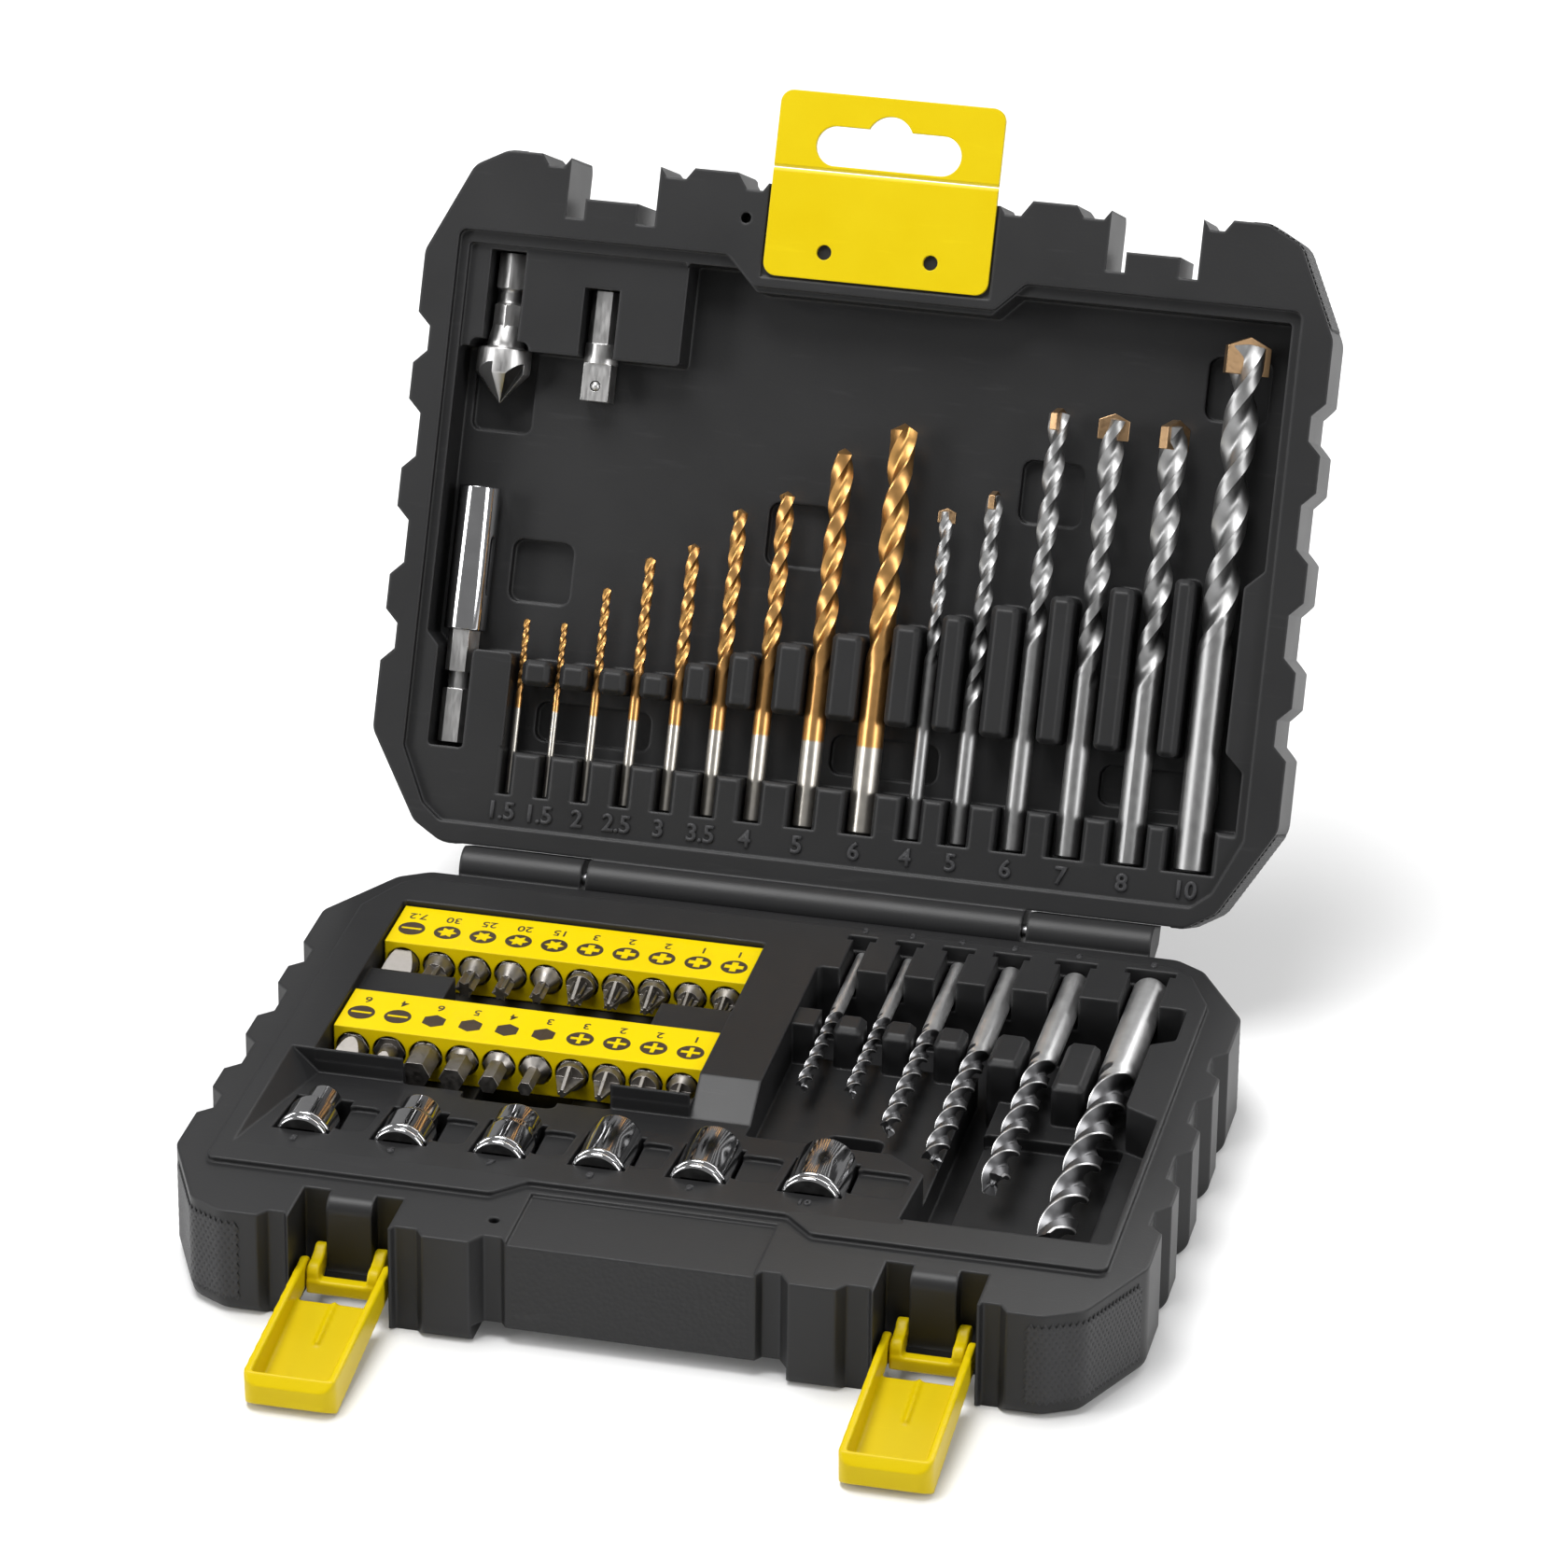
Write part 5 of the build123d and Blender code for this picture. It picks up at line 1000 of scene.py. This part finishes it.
for node, diameter, length, spiral, x, turn in MASONRY_DRILLS:
    radius = diameter / 2 * MM
    place = lid_place(x) @ Matrix.Rotation(math.radians(turn), 4, "Z")
    crest_height = radius * CREST_HEIGHT
    below = crest_height * BODY_BELOW_TIP
    pitch = (diameter * MASONRY_PITCH[0] + MASONRY_PITCH[1]) * MM
    form = spiral_drill(f"{node}_ground", diameter * MASONRY_BODY_SHARE * MM, length * MM - below,
                        spiral * MM - below, pitch, MASONRY_SECTION, diameter * MASONRY_RUN_OUT * MM,
                        crest_height * BODY_CONE)
    place_drill(form, node, place, "lid", masonry_steel)
    low = length * MM - PLATE_LENGTH * diameter * MM
    high = length * MM
    half = PLATE_HALF * diameter * MM
    plate = flat_print([(-radius, low), (radius, low), (radius, high - crest_height), (0, high),
                        (-radius, high - crest_height)], 2 * half,
                       Matrix.Translation((0, half, 0)) @ lying_forward)
    plate.name = f"{node}_carbide"
    applied(plate, "BEVEL", width=PLATE_BEVEL, segments=2)
    plate.data.transform(place)
    wear(plate, carbide)
    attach(plate, "lid")

# ------------------------------------ countersink, adaptor, bit holder
# Three satin steel accessories held in the lid: a countersink with five ground gullets and a
# necked hexagon shank, a hexagon-to-square adaptor with its ball, and a bit holder with a magnet
# and a bright turned sleeve.
COUNTERSINK_AT = (-85.6 * MM, -56.0 * MM, 34.8 * MM)
COUNTERSINK_HEAD = (6.2 * MM, 21.5 * MM, 27.4 * MM, 34.3 * MM)  # radius, foot, rim, tip
COLLAR_SHARE = 1.15         # over the shank's corner radius
SHANK_INSIDE = 3 * MM
SHANK_BEVEL = 0.25 * MM
HEAD_FLUTES = 5
GULLET_BOX = (8 * MM, 5.6 * MM, 16 * MM)
GULLET_DEPTH = 1.6 * MM
GULLET_TURN = 0.5
NECK = (2.45 * MM, 8.6 * MM, 11.4 * MM)     # radius, lower and upper end
HOLDER_AT = (-87.6 * MM, -2.5 * MM, 33.7 * MM)
HOLDER_SLEEVE = (4.8 * MM, 33.0 * MM)       # radius and length
HOLDER_MOUTH = (6.5 * MM, 12.0 * MM)        # across its flats, and depth
HOLDER_MAGNET = (2.4 * MM, 4.0 * MM)        # radius and length
SEAT_OVERLAP = 1 * MM
satin = brushed_metal("satin_steel", (0.56, 0.555, 0.55, 1), (0.42, 0.415, 0.41, 1), 0.36,
                      (1500, 300, 300))
gullet_painted_shade = brushed_metal("gullets_painted_shade", *DARK_STEEL_TONES, 0.42, (1500, 300, 300))
head_radius, head_foot, head_rim, head_tip = COUNTERSINK_HEAD
corner = HEX_FLATS / 2 / math.cos(math.pi / 6)
collar = corner * COLLAR_SHARE
sink = lathe("countersink_turned", rounded_profile([
    (0, head_foot - 5 * MM), (corner * 0.93, head_foot - 5 * MM), (collar, head_foot - 1.2 * MM),
    (collar, head_foot), (head_radius, head_foot + 0.3 * MM), (head_radius, head_rim),
    (0.25 * MM, head_tip - 0.3 * MM), (0, head_tip)], 0.3 * MM, 2), 60)
lean = Matrix.Rotation(-math.atan2(head_radius - GULLET_DEPTH, head_tip - head_rim), 4, "Y")
long, wide, tall = GULLET_BOX
for flute in range(HEAD_FLUTES):
    bpy.ops.mesh.primitive_cube_add(size=1)
    cutter = bpy.context.object
    cutter.data.transform(Matrix.Diagonal((*GULLET_BOX, 1)))
    cutter.data.transform(Matrix.Translation((long / 2, wide / 2, -tall / 2)))
    around = Matrix.Rotation(2 * math.pi * flute / HEAD_FLUTES + GULLET_TURN, 4, "Z")
    cutter.data.transform(around @ Matrix.Translation((0, 0, head_tip)) @ lean)
    cut(sink, cutter)
shank_length = head_foot - SHANK_INSIDE
shank = bar(6, corner, shank_length, shank_length / 2)
shank.name = "countersink_shank"
applied(shank, "BEVEL", width=SHANK_BEVEL, segments=2)
neck_radius, neck_low, neck_high = NECK
groove = lathe("groove", rounded_profile([
    (corner * 1.3, neck_low - 1.2 * MM), (neck_radius, neck_low), (neck_radius, neck_high),
    (corner * 1.3, neck_high + 1.2 * MM), (corner * 1.3, neck_low - 1.2 * MM)], 0.6 * MM), 40)
cut(shank, groove)
for piece in (sink, shank):
    smooth_by_angle(piece, 28)
    wear(piece, satin, gullet_painted_shade)
cone_slope = math.atan2(head_radius, head_tip - head_rim)
# Painted shade: faces off the cone, down in the gullets, get the dark steel.
for face in sink.data.polygons:
    out = Vector((face.center.x, face.center.y, 0)).normalized()
    cone_normal = out * math.cos(cone_slope) + Vector((0, 0, math.sin(cone_slope)))
    on_rim = face.normal.dot(out) > 0.9 or face.center.z < head_foot + 0.4 * MM
    face.material_index = 0 if on_rim or face.normal.dot(cone_normal) > 0.97 else 1
for piece in (sink, shank):
    piece.data.transform(shut_to_open @ Matrix.Translation(COUNTERSINK_AT) @ lying_back)
    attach(piece, "lid")
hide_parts("countersink_bit")
for node in ("countersink_bit", "socket_adaptor", "adaptor_ball", "bit_holder_shank",
             "bit_holder_magnet"):
    finish_node(node, satin)
sleeve_radius, sleeve_length = HOLDER_SLEEVE
mouth_flats, mouth_depth = HOLDER_MOUTH
magnet_radius, magnet_length = HOLDER_MAGNET
sleeve = lathe("bit_holder_turned", rounded_profile([
    (0, 0), (sleeve_radius, 0), (sleeve_radius, sleeve_length), (0, sleeve_length)], 0.5 * MM),
    SOCKET_SEGMENTS)
cut(sleeve, bar(6, mouth_flats / 2 / math.cos(math.pi / 6), 2 * mouth_depth))
cut(sleeve, bar(32, magnet_radius, magnet_length + SEAT_OVERLAP,
                mouth_depth + (magnet_length - SEAT_OVERLAP) / 2))
sleeve.data.transform(shut_to_open @ Matrix.Translation(HOLDER_AT) @ lying_back)
smooth_by_angle(sleeve)
wear(sleeve, chrome)
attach(sleeve, "lid")
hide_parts("bit_holder_sleeve")
finish_node("bit_holder_sleeve", chrome)

# ------------------------------------ studio
# A matt, nearly white floor under pale air, with four large soft boxes. The camera is a long lens
# that looks down on the case from the front and a little to the right.
FLOOR_GREY = 0.74
FLOOR_GLOW = 0.06
AIR_STRENGTH = 0.28
SUBJECT = (0.0, 0.02, 0.07)
SOFT_BOXES = (              # name, place, width and height, watts
    ("overhead", (-0.25, -0.1, 1.3), (0.9, 0.6), 20), ("left_box", (-1.1, -0.7, 0.55), (0.35, 0.8), 9),
    ("right_box", (1.2, -0.5, 0.6), (0.35, 0.8), 8), ("back_box", (0.3, 1.1, 0.8), (1.2, 0.4), 11),
)
CAMERA_TURNS = (13.182, 26.769, 0.536)      # azimuth, elevation and roll, in degrees
CAMERA_AT = (0.31307, -1.31191, 0.77612)
FRAME_SIZE = (1680, 1666)
FOCAL_PIXELS = 7701.94
PRINCIPAL = (800.08, 841.51)
SENSOR = 36
deselect()
bpy.ops.mesh.primitive_plane_add(size=12)
floor = bpy.context.object
floor.name = "studio_floor"
floor_paint, tree, shader = new_surface("studio_floor_paint")
feed(tree, shader, {"Base Color": (FLOOR_GREY, FLOOR_GREY, FLOOR_GREY, 1), "Roughness": 0.9,
                    "Emission Color": (1, 1, 1, 1), "Emission Strength": FLOOR_GLOW})
wear(floor, floor_paint)
floor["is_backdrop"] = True
world = bpy.data.worlds.new("studio_air")
bpy.context.scene.world = world
world.use_nodes = True
feed(world.node_tree, world.node_tree.nodes["Background"],
     {"Color": (1, 1, 1, 1), "Strength": AIR_STRENGTH})
for name, place, size, power in SOFT_BOXES:
    data = bpy.data.lights.new(name, "AREA")
    settle(data, shape="RECTANGLE", size=size[0], size_y=size[1], energy=power)
    light = bpy.data.objects.new(name, data)
    light.location = place
    light.rotation_euler = (Vector(SUBJECT) - Vector(place)).to_track_quat("-Z", "Y").to_euler()
    bpy.context.scene.collection.objects.link(light)
azimuth, elevation, roll = (math.radians(turn) for turn in CAMERA_TURNS)
back = Vector((math.sin(azimuth) * math.cos(elevation), -math.cos(azimuth) * math.cos(elevation),
               math.sin(elevation)))
right = (-back).cross(Vector((0, 0, 1))).normalized()
up = right.cross(-back)
right_rolled = right * math.cos(roll) + up * math.sin(roll)
up_rolled = up * math.cos(roll) - right * math.sin(roll)
camera_data = bpy.data.cameras.new("camera")
camera = bpy.data.objects.new("camera", camera_data)
bpy.context.scene.collection.objects.link(camera)
rotation = Matrix((right_rolled, up_rolled, back)).transposed()
camera.matrix_world = Matrix.Translation(CAMERA_AT) @ rotation.to_4x4()
width, height = FRAME_SIZE
settle(camera_data, sensor_width=SENSOR, lens=SENSOR * FOCAL_PIXELS / width, clip_end=50,
       shift_x=(width / 2 - PRINCIPAL[0]) / width, shift_y=(PRINCIPAL[1] - height / 2) / width)
bpy.context.scene.camera = camera
bpy.context.scene.view_settings.view_transform = "Standard"

low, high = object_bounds()
